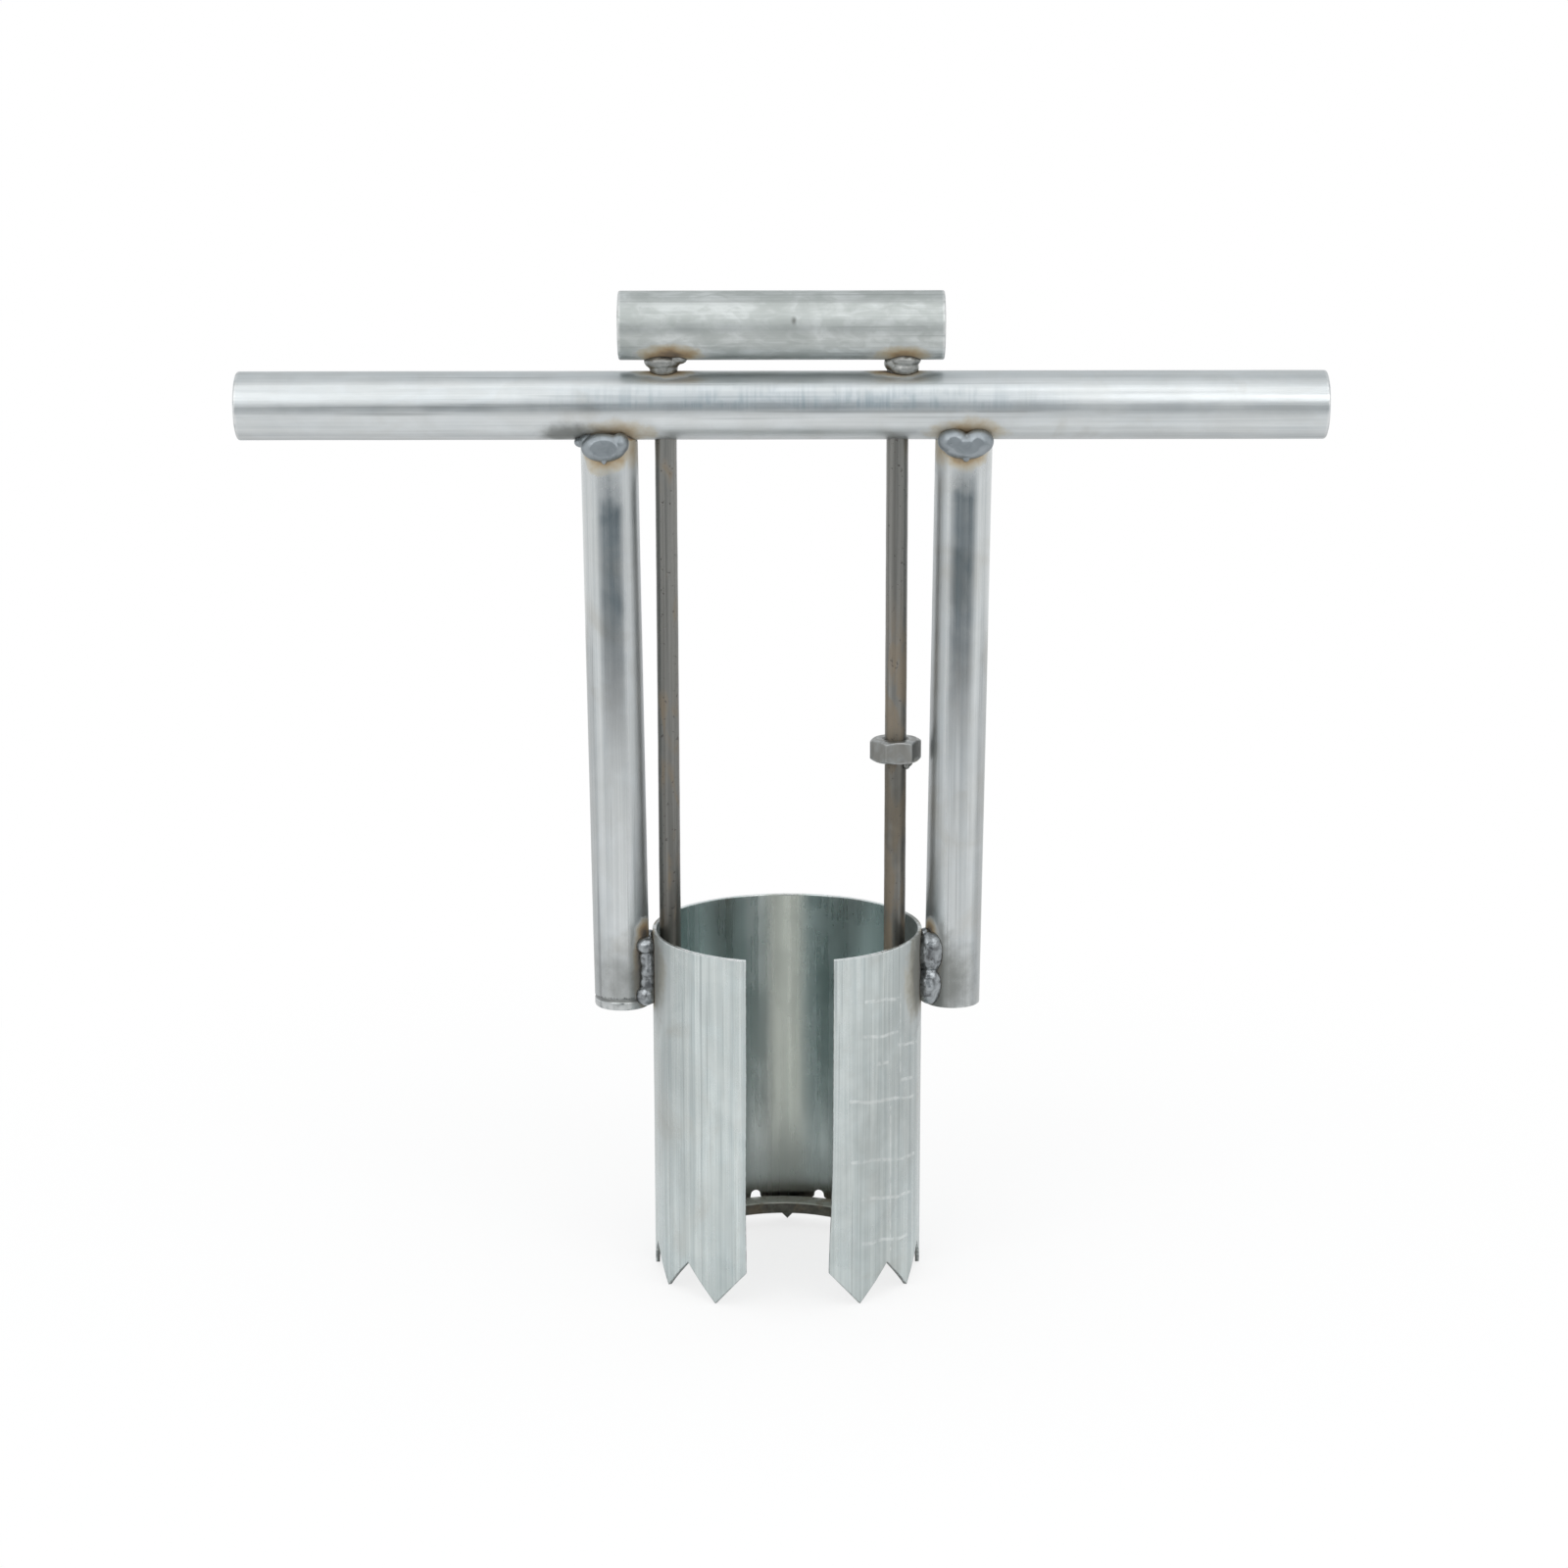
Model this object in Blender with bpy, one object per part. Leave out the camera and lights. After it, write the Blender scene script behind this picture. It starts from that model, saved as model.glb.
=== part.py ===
"""Hand transplanter: a toothed and slotted cutting cylinder, carried under a cross handle by two
legs, with an ejector that slides through the handle and pushes the soil core out again.

Lengths are in metres and +Z is up. The origin is on the cutting cylinder's axis, level with the
tips of its teeth. The slot, where the plant's stem goes in, faces -Y.
"""

import math

import bmesh
import bpy
from mathutils import Matrix, Vector

MM = 0.001

# Cutting cylinder: a thin tube with a slot down its front and a crown of V teeth
CYLINDER_OD = 101.6 * MM
CYLINDER_WALL = 1.5 * MM
CYLINDER_HEIGHT = 134.0 * MM
SLOT_WIDTH = 30.5 * MM
TOOTH_HEIGHT = 13.2 * MM
TOOTH_PITCH = math.radians(29.7)
COLUMNS_PER_TOOTH = 8

# Cross handle: the long tube that the hands push down on
HANDLE_OD = 25.0 * MM
HANDLE_WALL = 1.5 * MM
HANDLE_LENGTH = 396.0 * MM
HANDLE_AXIS_HEIGHT = 330.2 * MM
HANDLE_OFFSET = -1.8 * MM  # the handle and the ejector sit a little left of the cylinder's axis

# Legs: two tubes that lean in slightly towards the cylinder
LEG_OD = 21.0 * MM
LEG_WALL = 1.5 * MM
LEG_OVERLAP = 29.0 * MM  # how far the legs run down beside the cylinder
LEG_FOOT_GAP = 1.0 * MM  # between the leg and the cylinder, where the foot welds are
LEG_SPREAD = 2.6 * MM  # how much further out each leg is at the handle than at its foot

# Ejector: a grip, two rods and a half ring that runs down the inside of the cylinder
GRIP_OD = 25.0 * MM
GRIP_WALL = 1.5 * MM
GRIP_OVERHANG = 16.8 * MM  # from each rod's axis to the end of the grip
GRIP_GAP = 3.9 * MM  # between the grip and the handle when the ejector is down
ROD_DIAMETER = 8.0 * MM
GUIDE_CLEARANCE = 0.5 * MM  # all round each rod, in the handle's holes
RING_WIDTH = 8.5 * MM
RING_THICKNESS = 4.5 * MM
RING_CLEARANCE = 1.0 * MM  # between the ring and the cylinder's bore, on the closer side
RING_HEIGHT = 6.1 * MM  # the ring's underside over the tips of the teeth
RING_END_MARGIN = 4.0 * MM  # how far the ring runs on past the fronts of the rods

# Stop nut: a plain hexagon nut tacked to the right rod, which stops the ejector's rise
EJECTOR_TRAVEL = 111.0 * MM
NUT_ACROSS_FLATS = 17.0 * MM
NUT_HEIGHT = 8.4 * MM
NUT_CLEARANCE = 0.35 * MM  # all round the rod, before the nut was tacked
NUT_COUNTERSINK = 0.6 * MM
NUT_FACE_SHARE = 0.95  # the round face that the chamfers leave, of the width across flats
NUT_TURN = math.radians(7.0)
NUT_CHAMFER_ANGLE = math.radians(30.0)

# Welds: how thick each bead is, how far it bites into what it joins, and how long it is
LEG_TOP_BEAD_RADIUS = 5.0 * MM
LEG_TOP_BEAD_DROP = 4.6 * MM  # below the line where leg and handle meet
LEG_TOP_BEAD_SINK = 1.6 * MM  # the bead's centre line under the leg's surface
LEG_TOP_BEAD_HALF_ANGLE = math.radians(58.0)
LEG_TOP_BEAD_TURN = math.radians(14.0)  # the left front bead sits this far round to the side
FOOT_BEAD_BITE = 1.8 * MM
FOOT_BEAD_DEPTH_SHARE = 0.59  # of the leg's radius, from its axis out to the bead's centre line
FOOT_BEAD_BELOW_RIM = 2.6 * MM
FOOT_BEAD_ABOVE_FOOT = 1.2 * MM
GRIP_BEAD_BITE = 3.0 * MM
GRIP_BEAD_COLLAR = 1.6 * MM  # how far the bead stands out round the rod
LEFT_GRIP_BEAD_STRETCH_SHARE = 1.17
RING_BEAD_RADIUS = 1.6 * MM
RING_BEAD_HALF_ANGLE = math.radians(70.0)
RING_BEAD_TURN = math.radians(50.0)  # from the rod's back towards the middle of the tool
TACK_RADIUS = 2.1 * MM

# Gaps and trims
JOINT_GAP = 0.3 * MM  # between pieces that touch on the real tool
EDGE_BREAK = 0.3 * MM
CUT_OVERRUN = 10.0 * MM
MERGE_DISTANCE = 0.001 * MM

# Finishes: linear colour and roughness of the bare metal
BRIGHT_TUBE = ((0.62, 0.65, 0.67), 0.32)
DRAWN_TUBE = ((0.55, 0.58, 0.60), 0.34)
WORN_TUBE = ((0.48, 0.50, 0.52), 0.36)
BLACK_BAR = ((0.20, 0.19, 0.17), 0.50)
WELD_METAL = ((0.36, 0.38, 0.41), 0.35)
PLATED_NUT = ((0.34, 0.35, 0.36), 0.38)

# How finely round shapes are faceted
TUBE_SEGMENTS = 48
ROD_SEGMENTS = 24
RING_SEGMENTS = 40
BEAD_RINGS = 17
BEAD_SIDES = 12
SMOOTH_ANGLE = math.radians(32.0)

# Places worked out from the sizes above
cylinder_radius = CYLINDER_OD / 2
bore_radius = cylinder_radius - CYLINDER_WALL
handle_radius = HANDLE_OD / 2
handle_underside = HANDLE_AXIS_HEIGHT - handle_radius
handle_top = HANDLE_AXIS_HEIGHT + handle_radius
leg_radius = LEG_OD / 2
leg_foot_height = CYLINDER_HEIGHT - LEG_OVERLAP
leg_foot_x = cylinder_radius + LEG_FOOT_GAP + leg_radius
leg_lean = math.atan2(LEG_SPREAD, HANDLE_AXIS_HEIGHT - leg_foot_height)
leg_length = (HANDLE_AXIS_HEIGHT - leg_foot_height) / math.cos(leg_lean)
grip_radius = GRIP_OD / 2
grip_axis_height = handle_top + GRIP_GAP + grip_radius
grip_underside = grip_axis_height - grip_radius
ring_outer_radius = bore_radius - abs(HANDLE_OFFSET) - RING_CLEARANCE
ring_inner_radius = ring_outer_radius - RING_WIDTH
ring_top = RING_HEIGHT + RING_THICKNESS
rod_radius = ROD_DIAMETER / 2
rod_reach = (ring_outer_radius + ring_inner_radius) / 2
grip_length = 2 * (rod_reach + GRIP_OVERHANG)
nut_corner_radius = NUT_ACROSS_FLATS / 2 / math.cos(math.pi / 6)
nut_underside = handle_underside - JOINT_GAP - EJECTOR_TRAVEL - NUT_HEIGHT
foot_bead_depth = FOOT_BEAD_DEPTH_SHARE * leg_radius
foot_bead_top = CYLINDER_HEIGHT - FOOT_BEAD_BELOW_RIM
foot_bead_bottom = leg_foot_height + FOOT_BEAD_ABOVE_FOOT


def clear_scene():
    for obj in list(bpy.data.objects):
        bpy.data.objects.remove(obj, do_unlink=True)


def metal(name, finish):
    colour, roughness = finish
    material = bpy.data.materials.new(name)
    material.use_nodes = True
    shader = material.node_tree.nodes["Principled BSDF"]
    shader.inputs["Base Color"].default_value = (*colour, 1.0)
    shader.inputs["Metallic"].default_value = 1.0
    shader.inputs["Roughness"].default_value = roughness
    material.diffuse_color = (*colour, 1.0)
    return material


def add_empty(name, location):
    empty = bpy.data.objects.new(name, None)
    empty.location = location
    bpy.context.scene.collection.objects.link(empty)
    return empty


def add_object(name, bm, place=None):
    """Turns a bmesh into a linked object and shades its round faces smooth."""
    bmesh.ops.remove_doubles(bm, verts=bm.verts, dist=MERGE_DISTANCE)
    bmesh.ops.recalc_face_normals(bm, faces=bm.faces)
    mesh = bpy.data.meshes.new(name)
    bm.to_mesh(mesh)
    bm.free()
    mesh.shade_smooth()
    mesh.set_sharp_from_angle(angle=SMOOTH_ANGLE)
    obj = bpy.data.objects.new(name, mesh)
    bpy.context.scene.collection.objects.link(obj)
    obj.matrix_basis = place or Matrix.Identity(4)
    return obj


def add_part(name, bm, finish, parent, place=None):
    """A piece of the tool: place is its position in the tool's own frame."""
    obj = add_object(name, bm)
    obj.data.materials.append(metal(f"{name}_metal", finish))
    obj.parent = parent
    obj.matrix_basis = Matrix.Translation(-parent.location) @ (place or Matrix.Identity(4))
    return obj


def add_cutter(name, bm, place=None):
    cutter = add_object(name, bm, place)
    cutter.hide_render = True
    cutter.display_type = "WIRE"
    return cutter


def boolean(obj, cutter, operation="DIFFERENCE"):
    modifier = obj.modifiers.new(f"{operation.lower()}_{cutter.name}", "BOOLEAN")
    modifier.operation = operation
    modifier.object = cutter


def joined_loop(bm, verts):
    return [bm.edges.new((a, b)) for a, b in zip(verts, verts[1:] + verts[:1])]


def spun_profile(profile, segments, angle=2 * math.pi, start=0.0):
    """A closed (radius, height) outline turned about Z; less than a full turn gets end faces."""
    bm = bmesh.new()
    turn = Matrix.Rotation(start, 3, "Z")
    verts = [bm.verts.new(turn @ Vector((radius, 0, height))) for radius, height in profile]
    edges = joined_loop(bm, verts)
    whole_turn = angle >= 2 * math.pi
    spun = bmesh.ops.spin(
        bm,
        geom=verts + edges,
        cent=(0, 0, 0),
        axis=(0, 0, 1),
        angle=angle,
        steps=segments,
        use_merge=whole_turn,
    )
    if not whole_turn:
        last = [item for item in spun["geom_last"] if isinstance(item, bmesh.types.BMEdge)]
        bmesh.ops.contextual_create(bm, geom=edges)
        bmesh.ops.contextual_create(bm, geom=last)
    return bm


def tube(outer_radius, wall, length):
    """A tube standing on the XY plane, with the sharp edges of its sawn ends broken."""
    inner_radius = outer_radius - wall
    outline = [
        (outer_radius - EDGE_BREAK, 0),
        (outer_radius, EDGE_BREAK),
        (outer_radius, length - EDGE_BREAK),
        (outer_radius - EDGE_BREAK, length),
        (inner_radius, length),
        (inner_radius, 0),
    ]
    return spun_profile(outline, TUBE_SEGMENTS)


def bar(radius, length, segments):
    """A solid round bar standing on the XY plane."""
    bm = bmesh.new()
    bmesh.ops.create_cone(
        bm,
        cap_ends=True,
        segments=segments,
        radius1=radius,
        radius2=radius,
        depth=length,
        matrix=Matrix.Translation((0, 0, length / 2)),
    )
    return bm


def along_x(length, centre_x, height):
    """Lays a tube that stands on the XY plane along X, centred on centre_x."""
    return Matrix.Translation((centre_x - length / 2, 0, height)) @ Matrix.Rotation(
        math.pi / 2, 4, "Y"
    )


def leg_place(side):
    """Stands a leg on its foot and leans its top outwards; side is -1 for left, +1 for right."""
    lean = Matrix.Rotation(side * leg_lean, 4, "Y")
    return Matrix.Translation((side * leg_foot_x, 0, leg_foot_height)) @ lean


def leg_axis_x(side, height):
    return side * (leg_foot_x + (height - leg_foot_height) * math.tan(leg_lean))


def rod_x(side):
    return HANDLE_OFFSET + side * rod_reach


def tooth_edge(angle):
    """Height of the toothed edge at an angle from the back, where one tooth is centred."""
    from_tip = abs((angle + TOOTH_PITCH / 2) % TOOTH_PITCH - TOOTH_PITCH / 2)
    return TOOTH_HEIGHT * from_tip / (TOOTH_PITCH / 2)


def cutting_cylinder():
    """The wall is a row of columns from one edge of the slot round the back to the other."""
    slot_angle = math.pi - math.asin(SLOT_WIDTH / 2 / cylinder_radius)
    step = TOOTH_PITCH / COLUMNS_PER_TOOTH
    whole_steps = math.ceil(slot_angle / step) - 1
    bm = bmesh.new()

    def column(corners, foot):
        heights = (foot, CYLINDER_HEIGHT, CYLINDER_HEIGHT, foot)
        places = (corners[0], corners[0], corners[1], corners[1])
        return [bm.verts.new((x, y, z)) for (x, y), z in zip(places, heights)]

    def slot_column(side):
        x = side * SLOT_WIDTH / 2
        corners = [(x, -math.sqrt(radius**2 - x**2)) for radius in (cylinder_radius, bore_radius)]
        return column(corners, tooth_edge(slot_angle))

    columns = [slot_column(-1)]
    for index in range(-whole_steps, whole_steps + 1):
        angle = index * step
        corners = [
            (radius * math.sin(angle), radius * math.cos(angle))
            for radius in (cylinder_radius, bore_radius)
        ]
        columns.append(column(corners, tooth_edge(angle)))
    columns.append(slot_column(1))
    for here, there in zip(columns, columns[1:]):
        for corner in range(4):
            after = (corner + 1) % 4
            bm.faces.new((here[corner], here[after], there[after], there[corner]))
    bm.faces.new(columns[0])
    bm.faces.new(columns[-1])
    return bm


def ejector_ring():
    """A half ring of flat bar, open towards the slot so that it passes round the stem."""
    overrun_angle = math.asin((rod_radius + RING_END_MARGIN) / ring_outer_radius)
    outline = [
        (ring_inner_radius, RING_HEIGHT),
        (ring_outer_radius, RING_HEIGHT),
        (ring_outer_radius, ring_top),
        (ring_inner_radius, ring_top),
    ]
    return spun_profile(outline, RING_SEGMENTS, math.pi + 2 * overrun_angle, -overrun_angle)


def hexagon_prism(across_flats, height):
    corner_radius = across_flats / 2 / math.cos(math.pi / 6)
    bm = bar(corner_radius, height, 6)
    bmesh.ops.rotate(bm, verts=bm.verts, cent=(0, 0, 0), matrix=Matrix.Rotation(math.pi / 6, 3, "Z"))
    return bm


def nut_chamfer_body():
    """A turned blank: where it is smaller than the hexagon, it leaves the corner chamfers."""
    face_radius = NUT_FACE_SHARE * NUT_ACROSS_FLATS / 2
    wide = nut_corner_radius + JOINT_GAP
    rise = (wide - face_radius) * math.tan(NUT_CHAMFER_ANGLE)
    outline = [(0, 0), (face_radius, 0), (wide, rise), (wide, NUT_HEIGHT - rise)]
    outline += [(face_radius, NUT_HEIGHT), (0, NUT_HEIGHT)]
    return spun_profile(outline, TUBE_SEGMENTS)


def nut_bore_cutter():
    """The bore with a countersink at each end."""
    radius = rod_radius + NUT_CLEARANCE
    wide = radius + NUT_COUNTERSINK + CUT_OVERRUN
    outline = [
        (0, -CUT_OVERRUN),
        (wide, -CUT_OVERRUN),
        (radius, NUT_COUNTERSINK),
        (radius, NUT_HEIGHT - NUT_COUNTERSINK),
        (wide, NUT_HEIGHT + CUT_OVERRUN),
        (0, NUT_HEIGHT + CUT_OVERRUN),
    ]
    return spun_profile(outline, ROD_SEGMENTS)


def bead_radii(thickest, lumps, lump_share):
    """Radii along a bead: blunt ends, with a ripple for each time the welder paused."""
    radii = []
    for index in range(BEAD_RINGS):
        t = -1 + 2 * (index + 0.5) / BEAD_RINGS
        ripple = 1 - lump_share * (0.5 + 0.5 * math.cos(math.pi * lumps * (t + 1)))
        radii.append(thickest * math.sqrt(1 - abs(t) ** 3) * ripple)
    return radii


def bead(path, radii):
    """A round section of changing radius, swept along a path and closed at both ends."""
    bm = bmesh.new()
    rings = []
    for index, (centre, radius) in enumerate(zip(path, radii)):
        before = path[max(index - 1, 0)]
        after = path[min(index + 1, len(path) - 1)]
        facing = (after - before).to_track_quat("Z", "Y")
        angles = [2 * math.pi * side / BEAD_SIDES for side in range(BEAD_SIDES)]
        spokes = [Vector((radius * math.cos(a), radius * math.sin(a), 0)) for a in angles]
        rings.append([bm.verts.new(centre + facing @ spoke) for spoke in spokes])
    for here, there in zip(rings, rings[1:]):
        for side in range(BEAD_SIDES):
            after = (side + 1) % BEAD_SIDES
            bm.faces.new((here[side], here[after], there[after], there[side]))
    bm.faces.new(rings[0])
    bm.faces.new(rings[-1])
    return bm


def leg_top_bead_path(side, depth_sign, turn):
    """Round the front or the back of a leg, just under the handle."""
    path = []
    path_radius = leg_radius - LEG_TOP_BEAD_SINK
    for index in range(BEAD_RINGS):
        t = -1 + 2 * (index + 0.5) / BEAD_RINGS
        angle = turn + t * LEG_TOP_BEAD_HALF_ANGLE
        y = depth_sign * path_radius * math.cos(angle)
        seam = HANDLE_AXIS_HEIGHT - math.sqrt(max(handle_radius**2 - y**2, 0))
        height = seam - LEG_TOP_BEAD_DROP
        path.append(Vector((leg_axis_x(side, height) + path_radius * math.sin(angle), y, height)))
    return path


def foot_groove(height):
    """Where the groove between a leg and the cylinder begins and ends, out from the middle."""
    leg_side = leg_axis_x(1, height) - math.sqrt(leg_radius**2 - foot_bead_depth**2)
    cylinder_side = math.sqrt(cylinder_radius**2 - foot_bead_depth**2)
    return cylinder_side, leg_side


def foot_bead(side, depth_sign):
    """Down the groove between a leg and the cylinder, thick enough to bridge it."""
    path = []
    for index in range(BEAD_RINGS):
        share = (index + 0.5) / BEAD_RINGS
        height = foot_bead_bottom + share * (foot_bead_top - foot_bead_bottom)
        middle = sum(foot_groove(height)) / 2
        path.append(Vector((side * middle, depth_sign * foot_bead_depth, height)))
    cylinder_side, leg_side = foot_groove(CYLINDER_HEIGHT)
    radius = (leg_side - cylinder_side) / 2 + FOOT_BEAD_BITE
    return bead(path, bead_radii(radius, lumps=4, lump_share=0.12))


def ring_bead_path(side):
    """Round the back and the inner side of a rod's foot, on top of the ring."""
    path = []
    path_radius = rod_radius + RING_BEAD_RADIUS / 2
    for index in range(BEAD_RINGS):
        t = -1 + 2 * (index + 0.5) / BEAD_RINGS
        angle = RING_BEAD_TURN + t * RING_BEAD_HALF_ANGLE
        x = rod_x(side) - side * path_radius * math.sin(angle)
        path.append(Vector((x, path_radius * math.cos(angle), ring_top + RING_BEAD_RADIUS / 2)))
    return path


def blob(centre, radii):
    """A rounded lump of weld metal with three half sizes."""
    bm = bmesh.new()
    bmesh.ops.create_uvsphere(
        bm,
        u_segments=2 * BEAD_SIDES,
        v_segments=BEAD_SIDES,
        radius=1.0,
        matrix=Matrix.Translation(centre) @ Matrix.Diagonal((*radii, 1)),
    )
    return bm


def build_frame():
    frame = add_empty("frame", (0, 0, 0))
    add_part("cutting_cylinder", cutting_cylinder(), BRIGHT_TUBE, frame)

    handle_lie = along_x(HANDLE_LENGTH, HANDLE_OFFSET, HANDLE_AXIS_HEIGHT)
    handle_tube = tube(handle_radius, HANDLE_WALL, HANDLE_LENGTH)
    handle = add_part("cross_handle", handle_tube, DRAWN_TUBE, frame, handle_lie)
    cut_length = HANDLE_OD + 2 * CUT_OVERRUN
    for side in (-1, 1):
        hole = bar(rod_radius + GUIDE_CLEARANCE, cut_length, TUBE_SEGMENTS)
        stand = Matrix.Translation((rod_x(side), 0, handle_underside - CUT_OVERRUN))
        boolean(handle, add_cutter(f"rod_hole_{side}", hole, stand))

    handle_space = add_cutter(
        "handle_space", bar(handle_radius + JOINT_GAP, HANDLE_LENGTH, TUBE_SEGMENTS), handle_lie
    )
    cylinder_space = add_cutter(
        "cylinder_space", bar(cylinder_radius + JOINT_GAP, CYLINDER_HEIGHT, 4 * TUBE_SEGMENTS)
    )
    for side, hand in ((-1, "left"), (1, "right")):
        leg_tube = tube(leg_radius, LEG_WALL, leg_length)
        leg = add_part(f"{hand}_leg", leg_tube, DRAWN_TUBE, frame, leg_place(side))
        boolean(leg, handle_space)
        leg_space = add_cutter(
            f"{hand}_leg_space",
            bar(leg_radius + JOINT_GAP, leg_length + CUT_OVERRUN, TUBE_SEGMENTS),
            leg_place(side) @ Matrix.Translation((0, 0, -CUT_OVERRUN)),
        )
        for depth_sign, face in ((-1, "front"), (1, "back")):
            turn = -LEG_TOP_BEAD_TURN if (side, depth_sign) == (-1, -1) else 0.0
            top_radii = bead_radii(LEG_TOP_BEAD_RADIUS, lumps=2, lump_share=0.06)
            top_bead = bead(leg_top_bead_path(side, depth_sign, turn), top_radii)
            top_weld = add_part(f"{hand}_leg_top_weld_{face}", top_bead, WELD_METAL, frame)
            boolean(top_weld, leg_space)
            boolean(top_weld, handle_space)
            side_bead = foot_bead(side, depth_sign)
            foot_weld = add_part(f"{hand}_leg_foot_weld_{face}", side_bead, WELD_METAL, frame)
            boolean(foot_weld, leg_space)
            boolean(foot_weld, cylinder_space)


def build_ejector():
    """Everything here rises together; the empty stands on the slide's axis."""
    ejector = add_empty("ejector", (HANDLE_OFFSET, 0, grip_axis_height))
    slide_axis = Matrix.Translation((HANDLE_OFFSET, 0, 0))
    grip_lie = along_x(grip_length, HANDLE_OFFSET, grip_axis_height)
    grip_tube = tube(grip_radius, GRIP_WALL, grip_length)
    add_part("ejector_grip", grip_tube, WORN_TUBE, ejector, grip_lie)
    add_part("ejector_ring", ejector_ring(), BLACK_BAR, ejector, slide_axis)

    grip_space = add_cutter(
        "grip_space", bar(grip_radius + JOINT_GAP, grip_length, TUBE_SEGMENTS), grip_lie
    )
    handle_top_space = add_cutter(
        "handle_top_space",
        bar(handle_radius + JOINT_GAP, grip_length, TUBE_SEGMENTS),
        along_x(grip_length, HANDLE_OFFSET, HANDLE_AXIS_HEIGHT),
    )
    ring_space = add_cutter(
        "ring_space", bar(bore_radius, ring_top + JOINT_GAP, 2 * TUBE_SEGMENTS), slide_axis
    )
    rod_foot = ring_top + JOINT_GAP
    rod_length = grip_underside - JOINT_GAP - rod_foot
    for side, hand in ((-1, "left"), (1, "right")):
        stand = Matrix.Translation((rod_x(side), 0, rod_foot))
        rod = bar(rod_radius, rod_length, ROD_SEGMENTS)
        add_part(f"{hand}_rod", rod, BLACK_BAR, ejector, stand)
        rod_space = add_cutter(
            f"{hand}_rod_space",
            bar(rod_radius + JOINT_GAP, rod_length + 2 * CUT_OVERRUN, ROD_SEGMENTS),
            Matrix.Translation((rod_x(side), 0, rod_foot - CUT_OVERRUN)),
        )
        stretch = LEFT_GRIP_BEAD_STRETCH_SHARE if side < 0 else 1
        collar = rod_radius + GRIP_BEAD_COLLAR
        centre = (rod_x(side), 0, (grip_underside + handle_top) / 2)
        lump = blob(centre, (collar * stretch, collar, GRIP_GAP / 2 + GRIP_BEAD_BITE))
        grip_weld = add_part(f"{hand}_grip_weld", lump, WELD_METAL, ejector)
        boolean(grip_weld, grip_space)
        boolean(grip_weld, handle_top_space)
        boolean(grip_weld, rod_space)
        ring_bead = bead(ring_bead_path(side), bead_radii(RING_BEAD_RADIUS, lumps=3, lump_share=0.1))
        ring_weld = add_part(f"{hand}_ring_weld", ring_bead, WELD_METAL, ejector)
        boolean(ring_weld, ring_space)
        boolean(ring_weld, rod_space)

    nut_turn = Matrix.Rotation(NUT_TURN, 4, "Z")
    nut_stand = Matrix.Translation((rod_x(1), 0, nut_underside)) @ nut_turn
    nut_hexagon = hexagon_prism(NUT_ACROSS_FLATS, NUT_HEIGHT)
    nut = add_part("stop_nut", nut_hexagon, PLATED_NUT, ejector, nut_stand)
    boolean(nut, add_cutter("nut_blank", nut_chamfer_body(), nut_stand), "INTERSECT")
    boolean(nut, add_cutter("nut_bore", nut_bore_cutter(), nut_stand))

    tack_centre = (rod_x(1) + rod_radius, -TACK_RADIUS / 2, nut_underside - JOINT_GAP)
    tack = add_part("stop_nut_tack", blob(tack_centre, [TACK_RADIUS] * 3), WELD_METAL, ejector)
    nut_space = add_cutter(
        "nut_space",
        hexagon_prism(NUT_ACROSS_FLATS + 2 * JOINT_GAP, NUT_HEIGHT + 2 * JOINT_GAP),
        Matrix.Translation((0, 0, -JOINT_GAP)) @ nut_stand,
    )
    boolean(tack, nut_space)
    boolean(tack, bpy.data.objects["right_rod_space"])


def main():
    clear_scene()
    build_frame()
    build_ejector()
    print(f"rods stand {rod_reach / MM:.2f} mm each side of the slide's axis")
    print(f"nut underside {nut_underside / MM:.2f} mm, grip axis {grip_axis_height / MM:.2f} mm")


main()
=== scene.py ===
# %% [markdown]
# # A hand transplanter, dressed for the camera
# This tool cuts a core of soil with a toothed, slotted cylinder and pushes it out with a sliding
# ejector. Its shape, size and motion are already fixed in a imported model, which is loaded first.
# Everything below stands in that same frame, in metres: X along the handle, Y towards the back,
# Z up from the tips of the teeth. The lesson is about steel that was sawn, bent and welded by
# hand: how its edges, beads, drawn lines and heat stains are made from mesh code and shader nodes.

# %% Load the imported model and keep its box
import math

import bmesh
import bpy
from mathutils import Matrix, Vector, noise


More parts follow.
